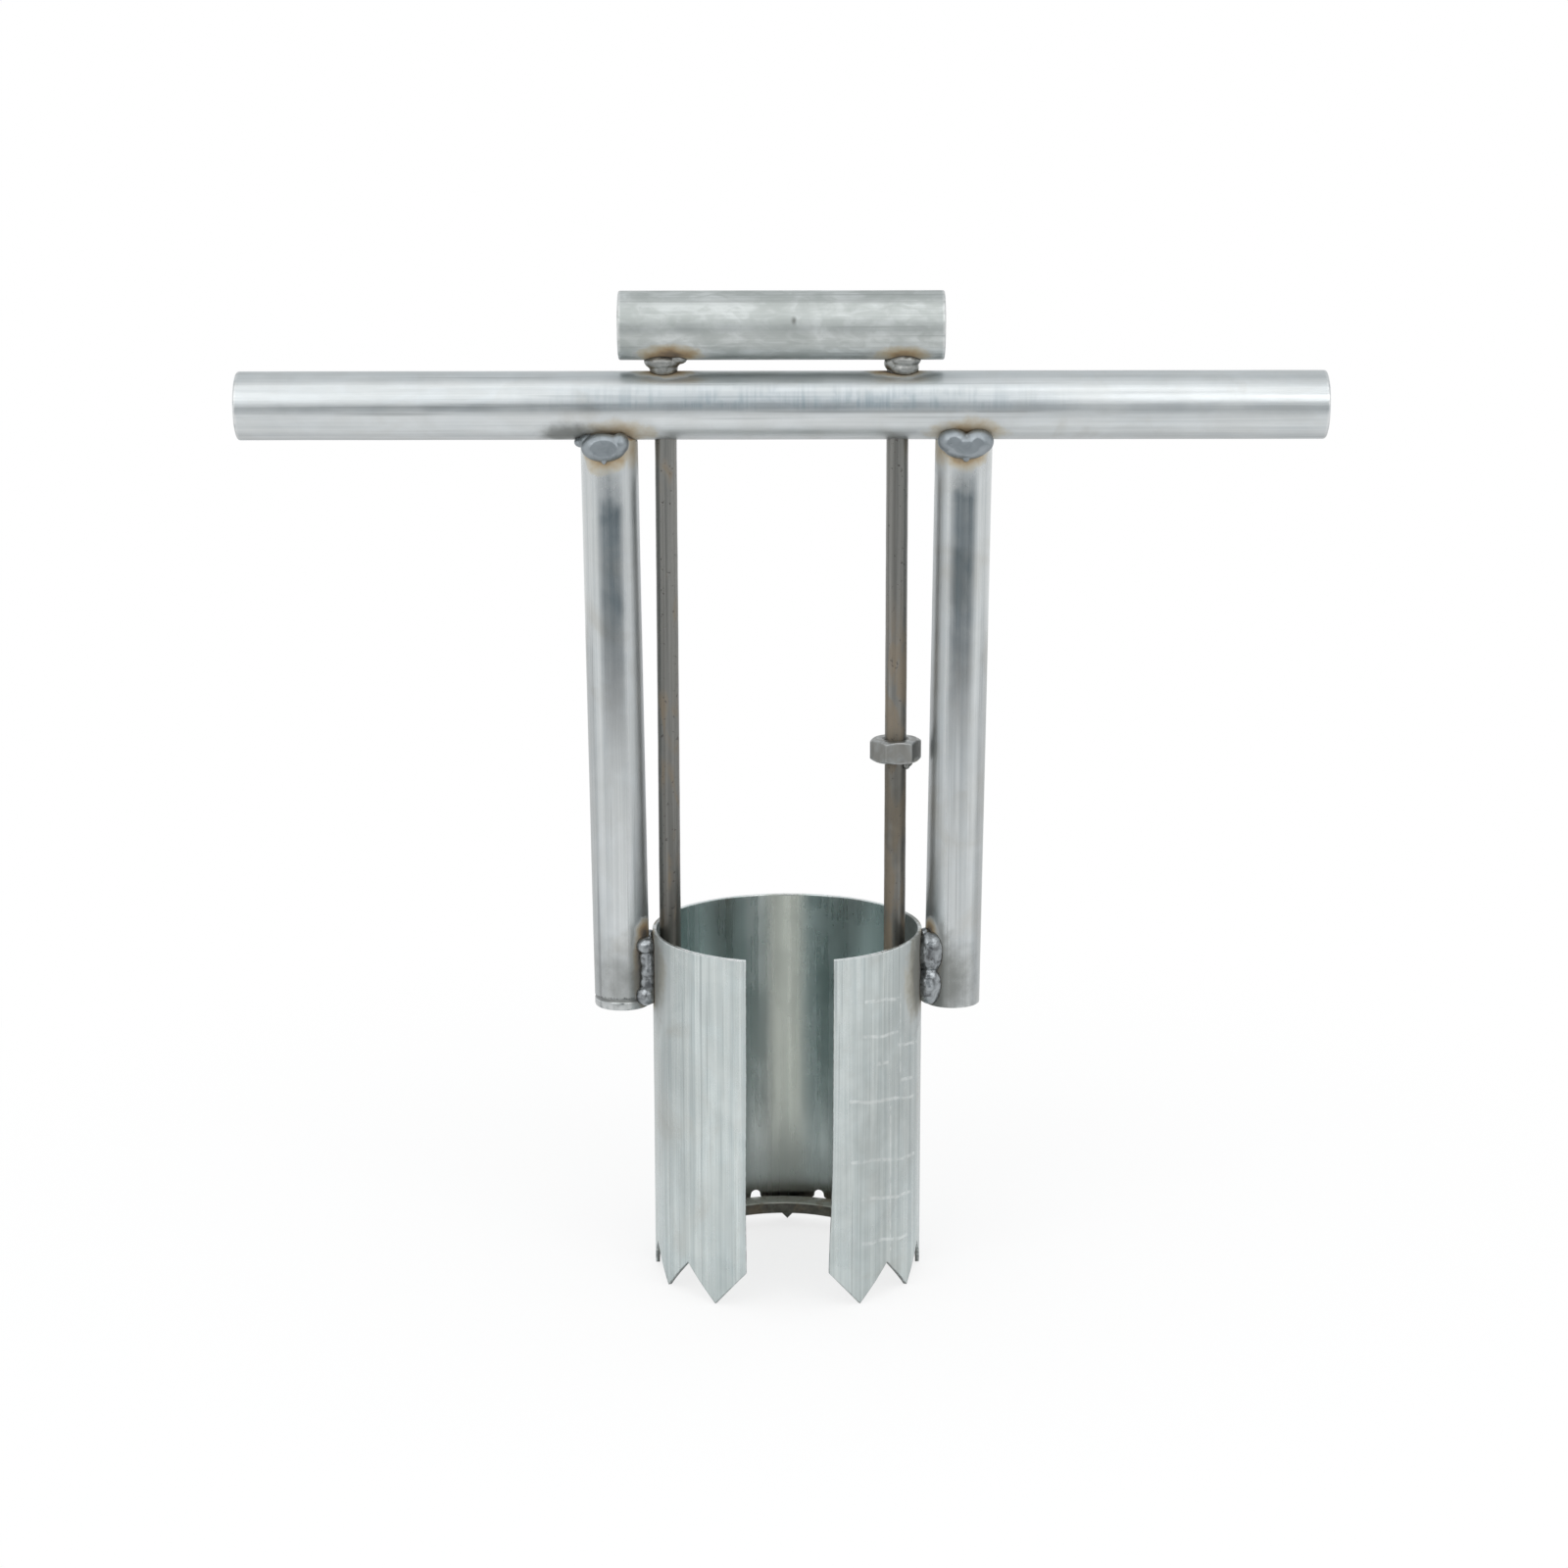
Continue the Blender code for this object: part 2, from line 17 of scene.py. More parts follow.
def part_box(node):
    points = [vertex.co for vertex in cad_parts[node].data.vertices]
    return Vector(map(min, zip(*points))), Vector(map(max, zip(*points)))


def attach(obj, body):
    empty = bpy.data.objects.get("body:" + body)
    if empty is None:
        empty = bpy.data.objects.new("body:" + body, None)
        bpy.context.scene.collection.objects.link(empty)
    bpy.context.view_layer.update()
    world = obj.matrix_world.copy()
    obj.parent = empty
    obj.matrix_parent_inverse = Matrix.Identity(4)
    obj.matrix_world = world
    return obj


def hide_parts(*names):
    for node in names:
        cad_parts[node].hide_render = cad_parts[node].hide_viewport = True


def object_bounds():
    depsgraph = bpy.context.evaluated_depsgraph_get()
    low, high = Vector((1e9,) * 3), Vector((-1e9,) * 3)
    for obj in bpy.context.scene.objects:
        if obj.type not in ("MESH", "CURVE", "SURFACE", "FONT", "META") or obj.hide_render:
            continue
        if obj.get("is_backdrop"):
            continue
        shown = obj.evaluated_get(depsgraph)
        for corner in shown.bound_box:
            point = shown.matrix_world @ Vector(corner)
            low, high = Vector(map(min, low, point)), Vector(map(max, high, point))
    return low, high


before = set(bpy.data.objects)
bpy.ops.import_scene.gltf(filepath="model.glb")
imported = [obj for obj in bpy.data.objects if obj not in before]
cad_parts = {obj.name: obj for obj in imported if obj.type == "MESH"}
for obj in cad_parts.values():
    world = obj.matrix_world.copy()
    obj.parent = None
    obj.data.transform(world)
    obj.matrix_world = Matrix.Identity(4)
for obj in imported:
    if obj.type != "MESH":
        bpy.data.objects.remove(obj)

cad_box = [list(corner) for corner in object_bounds()]
print("CAD box", [[round(value, 4) for value in corner] for corner in cad_box])

# %% [markdown]
# ## Sizes
# A scene should read its sizes from the model where it can, so that a new size needs no retyping.
# The corners of each node's box give radii, heights and axes. Only the thickness of the walls and
# the small trims can't be read from a box, so they are named here.

# %% Read the sizes from the model's boxes
MM = 0.001


def at(x, y, z):
    """A place or a size, given in millimetres."""
    return Vector((x, y, z)) * MM


def box_of(node):
    low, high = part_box(node)
    return low, high, (low + high) / 2


handle_low, handle_high, handle_mid = box_of("cross_handle")
handle_radius = (handle_high.z - handle_low.z) / 2
grip_low, grip_high = box_of("ejector_grip")[:2]
grip_radius = (grip_high.z - grip_low.z) / 2
cylinder_low, cylinder_high = box_of("cutting_cylinder")[:2]
cylinder_radius = (cylinder_high.x - cylinder_low.x) / 2
ring_low, ring_high, ring_mid = box_of("ejector_ring")
ring_radius = (ring_high.x - ring_low.x) / 2
HANDS = ((-1, "left"), (1, "right"))
rods = {side: box_of(f"{hand}_rod") for side, hand in HANDS}
rod_x = {side: rods[side][2].x for side in rods}
rod_radius = (rods[1][1].x - rods[1][0].x) / 2
nut_low, nut_high = box_of("stop_nut")[:2]

tube_wall = 1.5 * MM
leg_radius = 10.5 * MM
leg_foot_x = 62.3 * MM
leg_head_x = 64.9 * MM
leg_foot = box_of("left_leg")[0].z
rim = cylinder_high.z
print(f"handle {handle_radius / MM:.2f}, grip {grip_radius / MM:.2f}, rods {rod_radius / MM:.2f}")
print(f"cylinder {cylinder_radius / MM:.2f}, ring {ring_radius / MM:.2f}, rim at {rim / MM:.2f}")

# %% [markdown]
# ## Camera
# The photograph looks down on the tool by about twelve degrees from a little over a metre away.
# A long lens keeps the two legs nearly parallel. The camera could be aimed with a constraint, but
# a fixed matrix is plainer: nothing in it changes when the pieces move.

# %% Set the camera
def in_scene(name, data):
    made = bpy.data.objects.new(name, data)
    bpy.context.scene.collection.objects.link(made)
    return made


camera_place = at(-1.1, -1179.3, 448.5)
camera_down = math.radians(12.41)
camera_roll = math.radians(-0.08)
camera_data = bpy.data.cameras.new("photo_camera")
camera_data.lens = 74.25
camera_data.sensor_width = 36
camera_data.clip_start = 0.05
camera = in_scene("photo_camera", camera_data)
tilt = Matrix.Rotation(math.pi / 2 - camera_down, 4, "X")
camera.matrix_world = Matrix.Translation(camera_place) @ tilt @ Matrix.Rotation(camera_roll, 4, "Z")
bpy.context.scene.camera = camera
bpy.context.scene.view_settings.view_transform = "Standard"
print("camera stands", [round(value, 3) for value in camera_place])

# %% [markdown]
# ## Placing shader nodes
# Node trees are easier to read as sums than as lists of links. So each output of a node is held in
# a small class, which can be added, multiplied, faded and mixed. Each such step places one node in
# the tree that the output belongs to, and a plain number or colour goes on the node's own socket.

# %% Helpers for shader nodes
def feed(socket, value):
    """Links an output to the socket, or sets the socket's own value."""
    if isinstance(value, Signal):
        socket.id_data.links.new(value.socket, socket)
    else:
        socket.default_value = (*value, 1.0) if socket.type == "RGBA" and len(value) == 3 else value


def place_node(tree, kind, sockets=None, **settings):
    """Adds a node with its settings, and feeds its sockets by name or number."""
    node = tree.nodes.new(kind)
    for name, value in settings.items():
        setattr(node, name, value)
    for name, value in (sockets or {}).items():
        feed(node.inputs[name], value)
    return node


def reading(tree, kind, output, sockets=None, **settings):
    """One output of a new node."""
    return Signal(place_node(tree, kind, sockets, **settings).outputs[output])


class Signal:
    """One output of a node, which can be added, multiplied, faded and mixed."""

    def __init__(self, socket):
        self.socket = socket
        self.tree = socket.id_data

    def maths(self, operation, *values):
        """Works out plain numbers, in this output's tree."""
        sockets = dict(enumerate(values))
        return reading(self.tree, "ShaderNodeMath", 0, sockets, operation=operation)

    def __add__(self, other):
        return self.maths("ADD", self, other)

    def __radd__(self, other):
        return self.maths("ADD", other, self)

    def __sub__(self, other):
        return self.maths("SUBTRACT", self, other)

    def __rsub__(self, other):
        return self.maths("SUBTRACT", other, self)

    def __mul__(self, other):
        return self.maths("MULTIPLY", self, other)

    def __abs__(self):
        return self.maths("ABSOLUTE", self)

    def clamped(self):
        """Keeps the last sum between 0 and 1."""
        self.socket.node.use_clamp = True
        return self

    def arrow(self, operation, *others, output="Vector"):
        """Works on this place or direction, and on others if there are any."""
        sockets = dict(enumerate((self, *others)))
        return reading(self.tree, "ShaderNodeVectorMath", output, sockets, operation=operation)

    def length(self):
        return self.arrow("LENGTH", output="Value")

    def dot(self, other):
        return self.arrow("DOT_PRODUCT", other, output="Value")

    def axis(self, letter):
        return reading(self.tree, "ShaderNodeSeparateXYZ", letter, {"Vector": self})

    def fade(self, start, end):
        """Rises smoothly from 0 at the start to 1 at the end, which may be the lower one."""
        sockets = {"Value": self, "From Min": start, "From Max": end}
        smooth = {"interpolation_type": "SMOOTHSTEP"}
        return reading(self.tree, "ShaderNodeMapRange", "Result", sockets, **smooth)

    def cloud(self, scale, detail=2.0, distortion=0.0):
        """Noise at this place."""
        sockets = {"Vector": self, "Scale": scale, "Detail": detail, "Distortion": distortion}
        return reading(self.tree, "ShaderNodeTexNoise", "Fac", sockets)

    def between(self, one, other):
        """Mixes two colours, with this as the share of the second."""
        sockets = {0: self, 6: one, 7: other}
        return reading(self.tree, "ShaderNodeMix", 2, sockets, data_type="RGBA")

    def tinted(self, share, colour):
        """This colour, with a share of another over it."""
        return share.between(self, colour)

    def layered(self, *layers):
        """This colour, with layers of a share and a colour over it in turn."""
        colour = self
        for share, shade in layers:
            colour = colour.tinted(share, shade)
        return colour


def strongest(signals):
    most = None
    for signal in signals:
        most = signal if most is None else most.maths("MAXIMUM", most, signal)
    return most


# %% [markdown]
# ## Light
# Bare steel shows its surroundings more than its own colour. In the photograph the legs are dark
# down the middle, where they mirror the dim side of the room behind the camera, and the handle has
# a bright line from soft lamps above it. So the world is white, a little greyer high up at the
# back, with a low dim bank on the camera's side, darkest near the horizon and to the right, and a
# narrow dim gap between the lamps. Cards would do the same, but they would block other views.

# %% World: white, with a dim bank behind the camera
LEVEL = (1, 1, 0)
AHEAD = (0, -1, 0)
A_LITTLE_RIGHT = (0.03, -1, 0)
world = bpy.data.worlds.new("studio")
world.use_nodes = True
bpy.context.scene.world = world
sky = world.node_tree
sky.nodes.clear()
direction = reading(sky, "ShaderNodeTexCoord", "Generated")
height = direction.axis("Z")
level = direction.arrow("MULTIPLY", LEVEL).arrow("NORMALIZE")
forward = level.dot(AHEAD)
aside = level.dot(A_LITTLE_RIGHT)
wide_bank = aside.fade(0.35, 0.93) * height.fade(-0.02, -0.10)
tall_bank = forward.fade(0.975, 0.996) * height.fade(0.95, 0.12)
bank = strongest([wide_bank, tall_bank * 0.97])
behind = forward.fade(0.3, -0.3) * height.fade(0.0, 0.6)
unseen = 1.0 - reading(sky, "ShaderNodeLightPath", "Is Camera Ray")
walls = (behind * unseen).between((1.0, 1.0, 1.0), (0.76, 0.78, 0.79))
dim = direction.axis("X").fade(-0.5, 0.5).between((0.17, 0.20, 0.22), (0.12, 0.15, 0.17))
dim = dim.tinted(height.fade(-0.125, -0.18), (0.30, 0.345, 0.37))
room = walls.tinted(bank * unseen, dim)
lit = reading(sky, "ShaderNodeBackground", "Background", {"Color": room, "Strength": 1.0})
place_node(sky, "ShaderNodeOutputWorld", {"Surface": lit})
print("world has", len(sky.nodes), "nodes")

# %% Three soft lamps above and in front
handle_centre = Vector(handle_mid)
for name, lamp_place, lamp_width, lamp_depth, lamp_glow in (
    ("left", (-0.80, -1.45, 1.2), 1.15, 0.8, 1.6), ("right", (0.80, -1.45, 1.2), 1.15, 0.8, 1.5),
    ("top", (0.0, -0.75, 1.9), 1.6, 0.5, 0.9),
):
    lamp_data = bpy.data.lights.new(f"soft_lamp_{name}", "AREA")
    lamp_data.shape = "RECTANGLE"
    lamp_data.size = lamp_width
    lamp_data.size_y = lamp_depth
    lamp_data.energy = lamp_glow * math.pi * lamp_width * lamp_depth
    lamp = in_scene(f"soft_lamp_{name}", lamp_data)
    lamp.location = lamp_place
    lamp.rotation_euler = (handle_centre - lamp.location).to_track_quat("-Z", "Y").to_euler()
    print(lamp.name, "gives", round(lamp_data.energy, 2), "watts")

# %% [markdown]
# ## Floor
# The tool stands on the tips of its teeth on a plain white floor. The floor ends where the dim
# side of the room begins, because the legs show how it darkens there. Far from the tool the floor
# fades into the white backdrop, and near the tool it keeps a light shadow. Mirrored in the steel,
# the floor behind the tool is a little greyer, which draws the edges of the round walls.

# %% Floor disc
def built_object(name, bm, mesh=None):
    """An object in the scene, whose mesh takes what was built."""
    mesh = mesh or bpy.data.meshes.new(name)
    bm.to_mesh(mesh)
    bm.free()
    return in_scene(name, mesh)


floor_radius = 1.45
floor_steps = 96
disc = bmesh.new()
bmesh.ops.create_circle(disc, cap_ends=True, segments=floor_steps, radius=floor_radius)
floor = built_object("floor", disc)
floor.location.z = cylinder_low.z - 0.1 * MM
floor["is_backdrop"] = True
print("floor lies at", round(floor.location.z, 5))

# %% Floor paint
floor_paint = bpy.data.materials.new("white_floor")
floor_paint.use_nodes = True
tree = floor_paint.node_tree
tree.nodes.clear()
spot = reading(tree, "ShaderNodeTexCoord", "Object")
far_out = spot.length()
bare = 0.76 + far_out.fade(0.12, 0.5) * 0.24
ray = {name: reading(tree, "ShaderNodeLightPath", f"Is {name} Ray")
       for name in ("Camera", "Glossy", "Transmission")}
mirrored = (ray["Glossy"] + ray["Transmission"]).clamped()
shown = ray["Camera"] * bare + mirrored * far_out.fade(0.06, 0.22)
rear = spot.axis("Y").fade(-0.12, 0.1)
ahead = spot.arrow("NORMALIZE").dot(AHEAD)
outer = ahead.fade(0.35, 0.93) * far_out.fade(0.75, floor_radius)
dimmed = (rear * 0.25 + outer * 0.72) * mirrored
paint = reading(tree, "ShaderNodeBsdfDiffuse", "BSDF", {"Color": (0.95, 0.95, 0.95)})
glow = reading(tree, "ShaderNodeEmission", "Emission", {"Strength": 1.0 - dimmed})
blend = reading(tree, "ShaderNodeMixShader", "Shader", {0: shown, 1: paint, 2: glow})
place_node(tree, "ShaderNodeOutputMaterial", {"Surface": blend})
floor.data.materials.append(floor_paint)
print("floor paint has", len(tree.nodes), "nodes")

# %% [markdown]
# ## Effects that several finishes share
# Each effect is a node group with named sockets, built once and placed with its own values. They
# only hand out masks and colours. The Principled shader stays in each material.

# %% Helpers that open a new node group and place it
NO_PLACE = (0, 0, 0)
SOCKET_KINDS = {1: "NodeSocketFloat", 3: "NodeSocketVector", 4: "NodeSocketColor"}


def open_group(name, inputs, outputs):
    """Inputs and outputs have a start value each, whose length tells what kind they are."""
    group = bpy.data.node_groups.new(name, "ShaderNodeTree")
    for way, sockets in (("INPUT", inputs), ("OUTPUT", outputs)):
        for label, start in sockets.items():
            kind = SOCKET_KINDS[len(start) if isinstance(start, tuple) else 1]
            socket = group.interface.new_socket(label, in_out=way, socket_type=kind)
            if way == "INPUT":
                socket.default_value = start
    arriving = group.nodes.new("NodeGroupInput").outputs
    leaving = group.nodes.new("NodeGroupOutput").inputs
    print("group", name, "takes", list(inputs))
    return group, {label: Signal(arriving[label]) for label in inputs}, leaving


def use_group(group, **sockets):
    """A dictionary of the group's outputs, or the output itself where it is the only one."""
    tree = next(value.tree for value in sockets.values() if isinstance(value, Signal))
    node = place_node(tree, "ShaderNodeGroup", sockets, node_tree=group)
    given = {socket.name: Signal(socket) for socket in node.outputs}
    return given if len(given) > 1 else given.popitem()[1]


# %% [markdown]
# Tube and bar are drawn through a die, which leaves fine lines along them and a few broader bands.
# Noise that is stretched along the tube gives both, and its rare high peaks give thin dark hair
# lines. Stretching is a plain multiplication of the position, so one group serves upright legs and
# the level handle.

# %% Group: drawn lines
drawn_lines, arriving, leaving = open_group(
    "drawn_lines", {"Position": NO_PLACE, "Grain": (1, 1, 1), "Fineness": 1000},
    {"Fine": 0, "Broad": 0, "Hair": 0},
)
fineness = arriving["Fineness"]
stretched = arriving["Position"].arrow("MULTIPLY", arriving["Grain"])
longer = stretched.arrow("MULTIPLY", (0.45, 0.45, 0.45)).arrow("ADD", (3.1, 1.7, 2.3))
feed(leaving["Fine"], stretched.cloud(fineness, 3.0).fade(0.34, 0.66))
feed(leaving["Broad"], stretched.cloud(fineness * 0.2, 2.0).fade(0.33, 0.67))
feed(leaving["Hair"], longer.cloud(fineness, 1.0).fade(0.62, 0.72))

# %% [markdown]
# Hands, flux and storage leave smudges. A mask from warped noise has soft, uneven outlines, and
# the cover says how much of the surface it takes.

# %% Group: smudges
smudges, arriving, leaving = open_group(
    "smudges", {"Position": NO_PLACE, "Scale": 60, "Cover": 0.4, "Softness": 0.12}, {"Mask": 0}
)
patch = arriving["Position"].cloud(arriving["Scale"], detail=4.0, distortion=0.8)
edge = 0.78 - arriving["Cover"] * 0.5
feed(leaving["Mask"], patch.fade(edge - arriving["Softness"], edge + arriving["Softness"]))

# %% [markdown]
# Welding burns the zinc off and tints the steel: a dark ring at the bead, then brown, then straw,
# then a pale haze. The first group measures how near a point is to a weld, on an uneven front.
# The second turns that heat into colour. Keeping them apart lets one tube have many welds.

# %% Group: weld heat
weld_heat, arriving, leaving = open_group(
    "weld_heat", {"Position": NO_PLACE, "Centre": NO_PLACE, "Reach": (1, 1, 1), "Strength": 1.0},
    {"Heat": 0},
)
offset = arriving["Position"].arrow("SUBTRACT", arriving["Centre"])
steps = offset.arrow("DIVIDE", arriving["Reach"]).length()
uneven = arriving["Position"].cloud(210.0, 3.0) - 0.5
heat = (1.0 - (steps + uneven * 0.55)).clamped()
feed(leaving["Heat"], heat * arriving["Strength"])

# %% Group: heat colours
# Each stop has its heat, its tint and how much of the zinc's own colour the tint hides.
HEAT_STOPS = (
    (0.00, (0.60, 0.62, 0.63), 0.00), (0.09, (0.58, 0.60, 0.60), 0.40),
    (0.17, (0.54, 0.50, 0.41), 0.60), (0.28, (0.47, 0.39, 0.26), 0.76),
    (0.38, (0.39, 0.28, 0.145), 0.86), (0.50, (0.23, 0.155, 0.085), 0.90),
    (0.62, (0.12, 0.09, 0.06), 0.92), (0.80, (0.06, 0.055, 0.05), 0.92),
)
heat_colours, arriving, leaving = open_group(
    "heat_colours", {"Bare": (0.6, 0.6, 0.6, 1.0), "Heat": 0.0},
    {"Colour": (0, 0, 0, 1), "Dulling": 0},
)


def stop_ramp(value, stops):
    node = place_node(value.tree, "ShaderNodeValToRGB", {"Fac": value})
    elements = node.color_ramp.elements
    while len(elements) < len(stops):
        elements.new(0.5)
    for element, (place, colour) in zip(elements, stops):
        element.position = place
        element.color = (*colour, 1.0)
    return Signal(node.outputs["Color"])


tint = stop_ramp(arriving["Heat"], [(place, colour) for place, colour, share in HEAT_STOPS])
hidden = stop_ramp(arriving["Heat"], [(place, (share,) * 3) for place, colour, share in HEAT_STOPS])
feed(leaving["Colour"], arriving["Bare"].tinted(hidden, tint))
feed(leaving["Dulling"], hidden)

# %% [markdown]
# Edges are rubbed bright by handling. The mesh code below marks the points on each edge with a
# number called wear, so the shader needs no guess about where edges are. Noise breaks the line.

# %% Group: rubbed edges
rubbed_edges, arriving, leaving = open_group(
    "rubbed_edges", {"Position": NO_PLACE, "Wear": 0.0, "Amount": 0.7}, {"Mask": 0}
)
broken = arriving["Position"].cloud(420.0, 3.0).fade(0.3, 0.62)
feed(leaving["Mask"], arriving["Wear"] * broken * arriving["Amount"])

# %% [markdown]
# Hot rolled bar and weld metal have small pits and specks. High, narrow peaks of fine noise make
# them, and the same mask darkens the colour and dents the surface.

# %% Group: pits
pits, arriving, leaving = open_group(
    "pits", {"Position": NO_PLACE, "Scale": 900, "Amount": 0.5}, {"Mask": 0}
)
limit = 0.76 - arriving["Amount"] * 0.2
feed(leaving["Mask"], arriving["Position"].cloud(arriving["Scale"]).fade(limit, limit + 0.07))

# %% [markdown]
# The cylinder's right panel has pale scratches that cross it like rungs. A scratch is a straight
# stroke on the unrolled wall, so one group unrolls the wall into arc length and height, and
# another measures how near a point is to a stroke and breaks the stroke up.

# %% Groups: unrolled wall and scratch stroke
unrolled_wall, arriving, leaving = open_group(
    "unrolled_wall", {"Position": NO_PLACE, "Radius": 0.05}, {"Place": NO_PLACE}
)
place = arriving["Position"]
turned = place.maths("ARCTAN2", place.axis("X"), place.axis("Y") * -1.0)
unrolled = {"X": turned * arriving["Radius"], "Y": place.axis("Z")}
feed(leaving["Place"], reading(unrolled_wall, "ShaderNodeCombineXYZ", "Vector", unrolled))

scratch_stroke, arriving, leaving = open_group(
    "scratch_stroke", {"Place": NO_PLACE, "Start": NO_PLACE, "Run": (1, 0, 0), "Width": 0.0005},
    {"Mask": 0},
)
place, run, width = arriving["Place"], arriving["Run"], arriving["Width"]
sway = {"Y": (place.cloud(70.0, 1.0) - 0.5) * 0.003}
bent = place.arrow("ADD", reading(scratch_stroke, "ShaderNodeCombineXYZ", "Vector", sway))
from_start = bent.arrow("SUBTRACT", arriving["Start"])
along = run.maths("DIVIDE", from_start.dot(run), run.dot(run)).clamped()
sockets = {"Vector": run, "Scale": along}
nearest = reading(scratch_stroke, "ShaderNodeVectorMath", "Vector", sockets, operation="SCALE")
gap = from_start.arrow("DISTANCE", nearest, output="Value")
worn_through = place.cloud(330.0, 3.0).fade(0.3, 0.6)
feed(leaving["Mask"], gap.fade(width, width * 0.3) * worn_through)


# %% [markdown]
# ## Finish: zinc coated tube
# The cylinder, the handle, the legs and the grip are galvanised tube. Zinc is pale, a little blue
# or green, and half dull, so the roughness is moderate and the metal is never one flat colour.
# One function makes all of them from the shared effects, and each tube passes its own grain,
# stains and welds. The pieces are small, so every length in a texture is in real metres.

# %% Helpers that start and finish a material
def start_material(name):
    material = bpy.data.materials.new(name)
    material.use_nodes = True
    position = reading(material.node_tree, "ShaderNodeTexCoord", "Object")
    wear = reading(material.node_tree, "ShaderNodeAttribute", "Fac", attribute_name="wear")
    return material, position, wear


def most_heat(position, spots):
    """Heat of the hottest weld here. Each spot is a weld's centre, its reach and its strength."""
    return strongest(
        use_group(weld_heat, Position=position, Centre=centre, Reach=reach, Strength=strength)
        for centre, reach, strength in spots
    )


def finish_surface(material, colour, roughness, metallic, height, depth, coat=None):
    tree = material.node_tree
    relief = {"Height": height, "Distance": depth, "Strength": 1.0}
    sockets = {
        "Base Color": colour, "Roughness": roughness, "Metallic": metallic,
        "Normal": reading(tree, "ShaderNodeBump", "Normal", relief), **(coat or {}),
    }
    for name, value in sockets.items():
        feed(tree.nodes["Principled BSDF"].inputs[name], value)
    print("finish", material.name, "has", len(tree.nodes), "nodes")
    return material


# %% Stains, marks and painted light that lie over the zinc
OLIVE_STAIN = (0.44, 0.43, 0.39)
WELD_FUME = (0.21, 0.22, 0.21)
GROOVE_PAINTED_SHADE = (0.08, 0.08, 0.075)
PALE_SCRATCH = (0.84, 0.87, 0.865)
BLUE_RUB_AND_PAINTED_STRIPE = (0.29, 0.345, 0.38)
BRIGHT_EDGE = (0.78, 0.79, 0.79)
PAINTED_EDGE_SHADE = (0.16, 0.17, 0.17)


def bore_painted_light_and_dirt(colour, position, inside):
    """Painted light in the bore, with dirt at its foot and soot at the sides of the rim."""
    across, height = position.axis("X"), position.axis("Z")
    painted_glint = abs(across + 10 * MM).fade(8 * MM, 3 * MM)
    painted_reflected_strip = abs(across + 0.5 * MM).fade(12 * MM, 3.5 * MM)
    painted_low_shade = inside * height.fade(60 * MM, 12 * MM)
    dirt = inside * height.fade(20 * MM, 12 * MM)
    soot = inside * height.fade(90 * MM, 110 * MM) * abs(across).fade(40 * MM, 46 * MM)
    # Painted light: a paler, greener zinc for light bounced round inside, a painted glint, a painted
    # reflection of a strip behind the slot and painted shade low down. Dirt and soot follow.
    return colour.layered(
        (inside * 0.75, (0.70, 0.82, 0.81)), (painted_glint * inside * 0.8, (0.95, 1.0, 0.98)),
        (painted_reflected_strip * (inside * 0.85), (0.47, 0.49, 0.435)), (painted_low_shade * 0.75, (0.32, 0.345, 0.33)),
        (dirt * 0.6, (0.14, 0.13, 0.11)), (soot * 0.7, (0.13, 0.135, 0.125)),
    )


def rub_marks_and_painted_stripe(position, grain, centre, half_span, low, high):
    """A painted dark reflection band on a level tube, and the rub marks in it."""
    rubbed = use_group(drawn_lines, Position=position, Grain=grain, Fineness=650.0)["Fine"]
    height = position.axis("Z")
    painted_stripe = abs(position.axis("X") - centre).fade(half_span * 1.6, half_span * 0.5)
    painted_stripe = painted_stripe * height.fade(low - MM, low + 2 * MM) * height.fade(high + 4 * MM, low + 2 * MM)
    return painted_stripe, rubbed * position.cloud(150.0).fade(0.38, 0.6) * painted_stripe


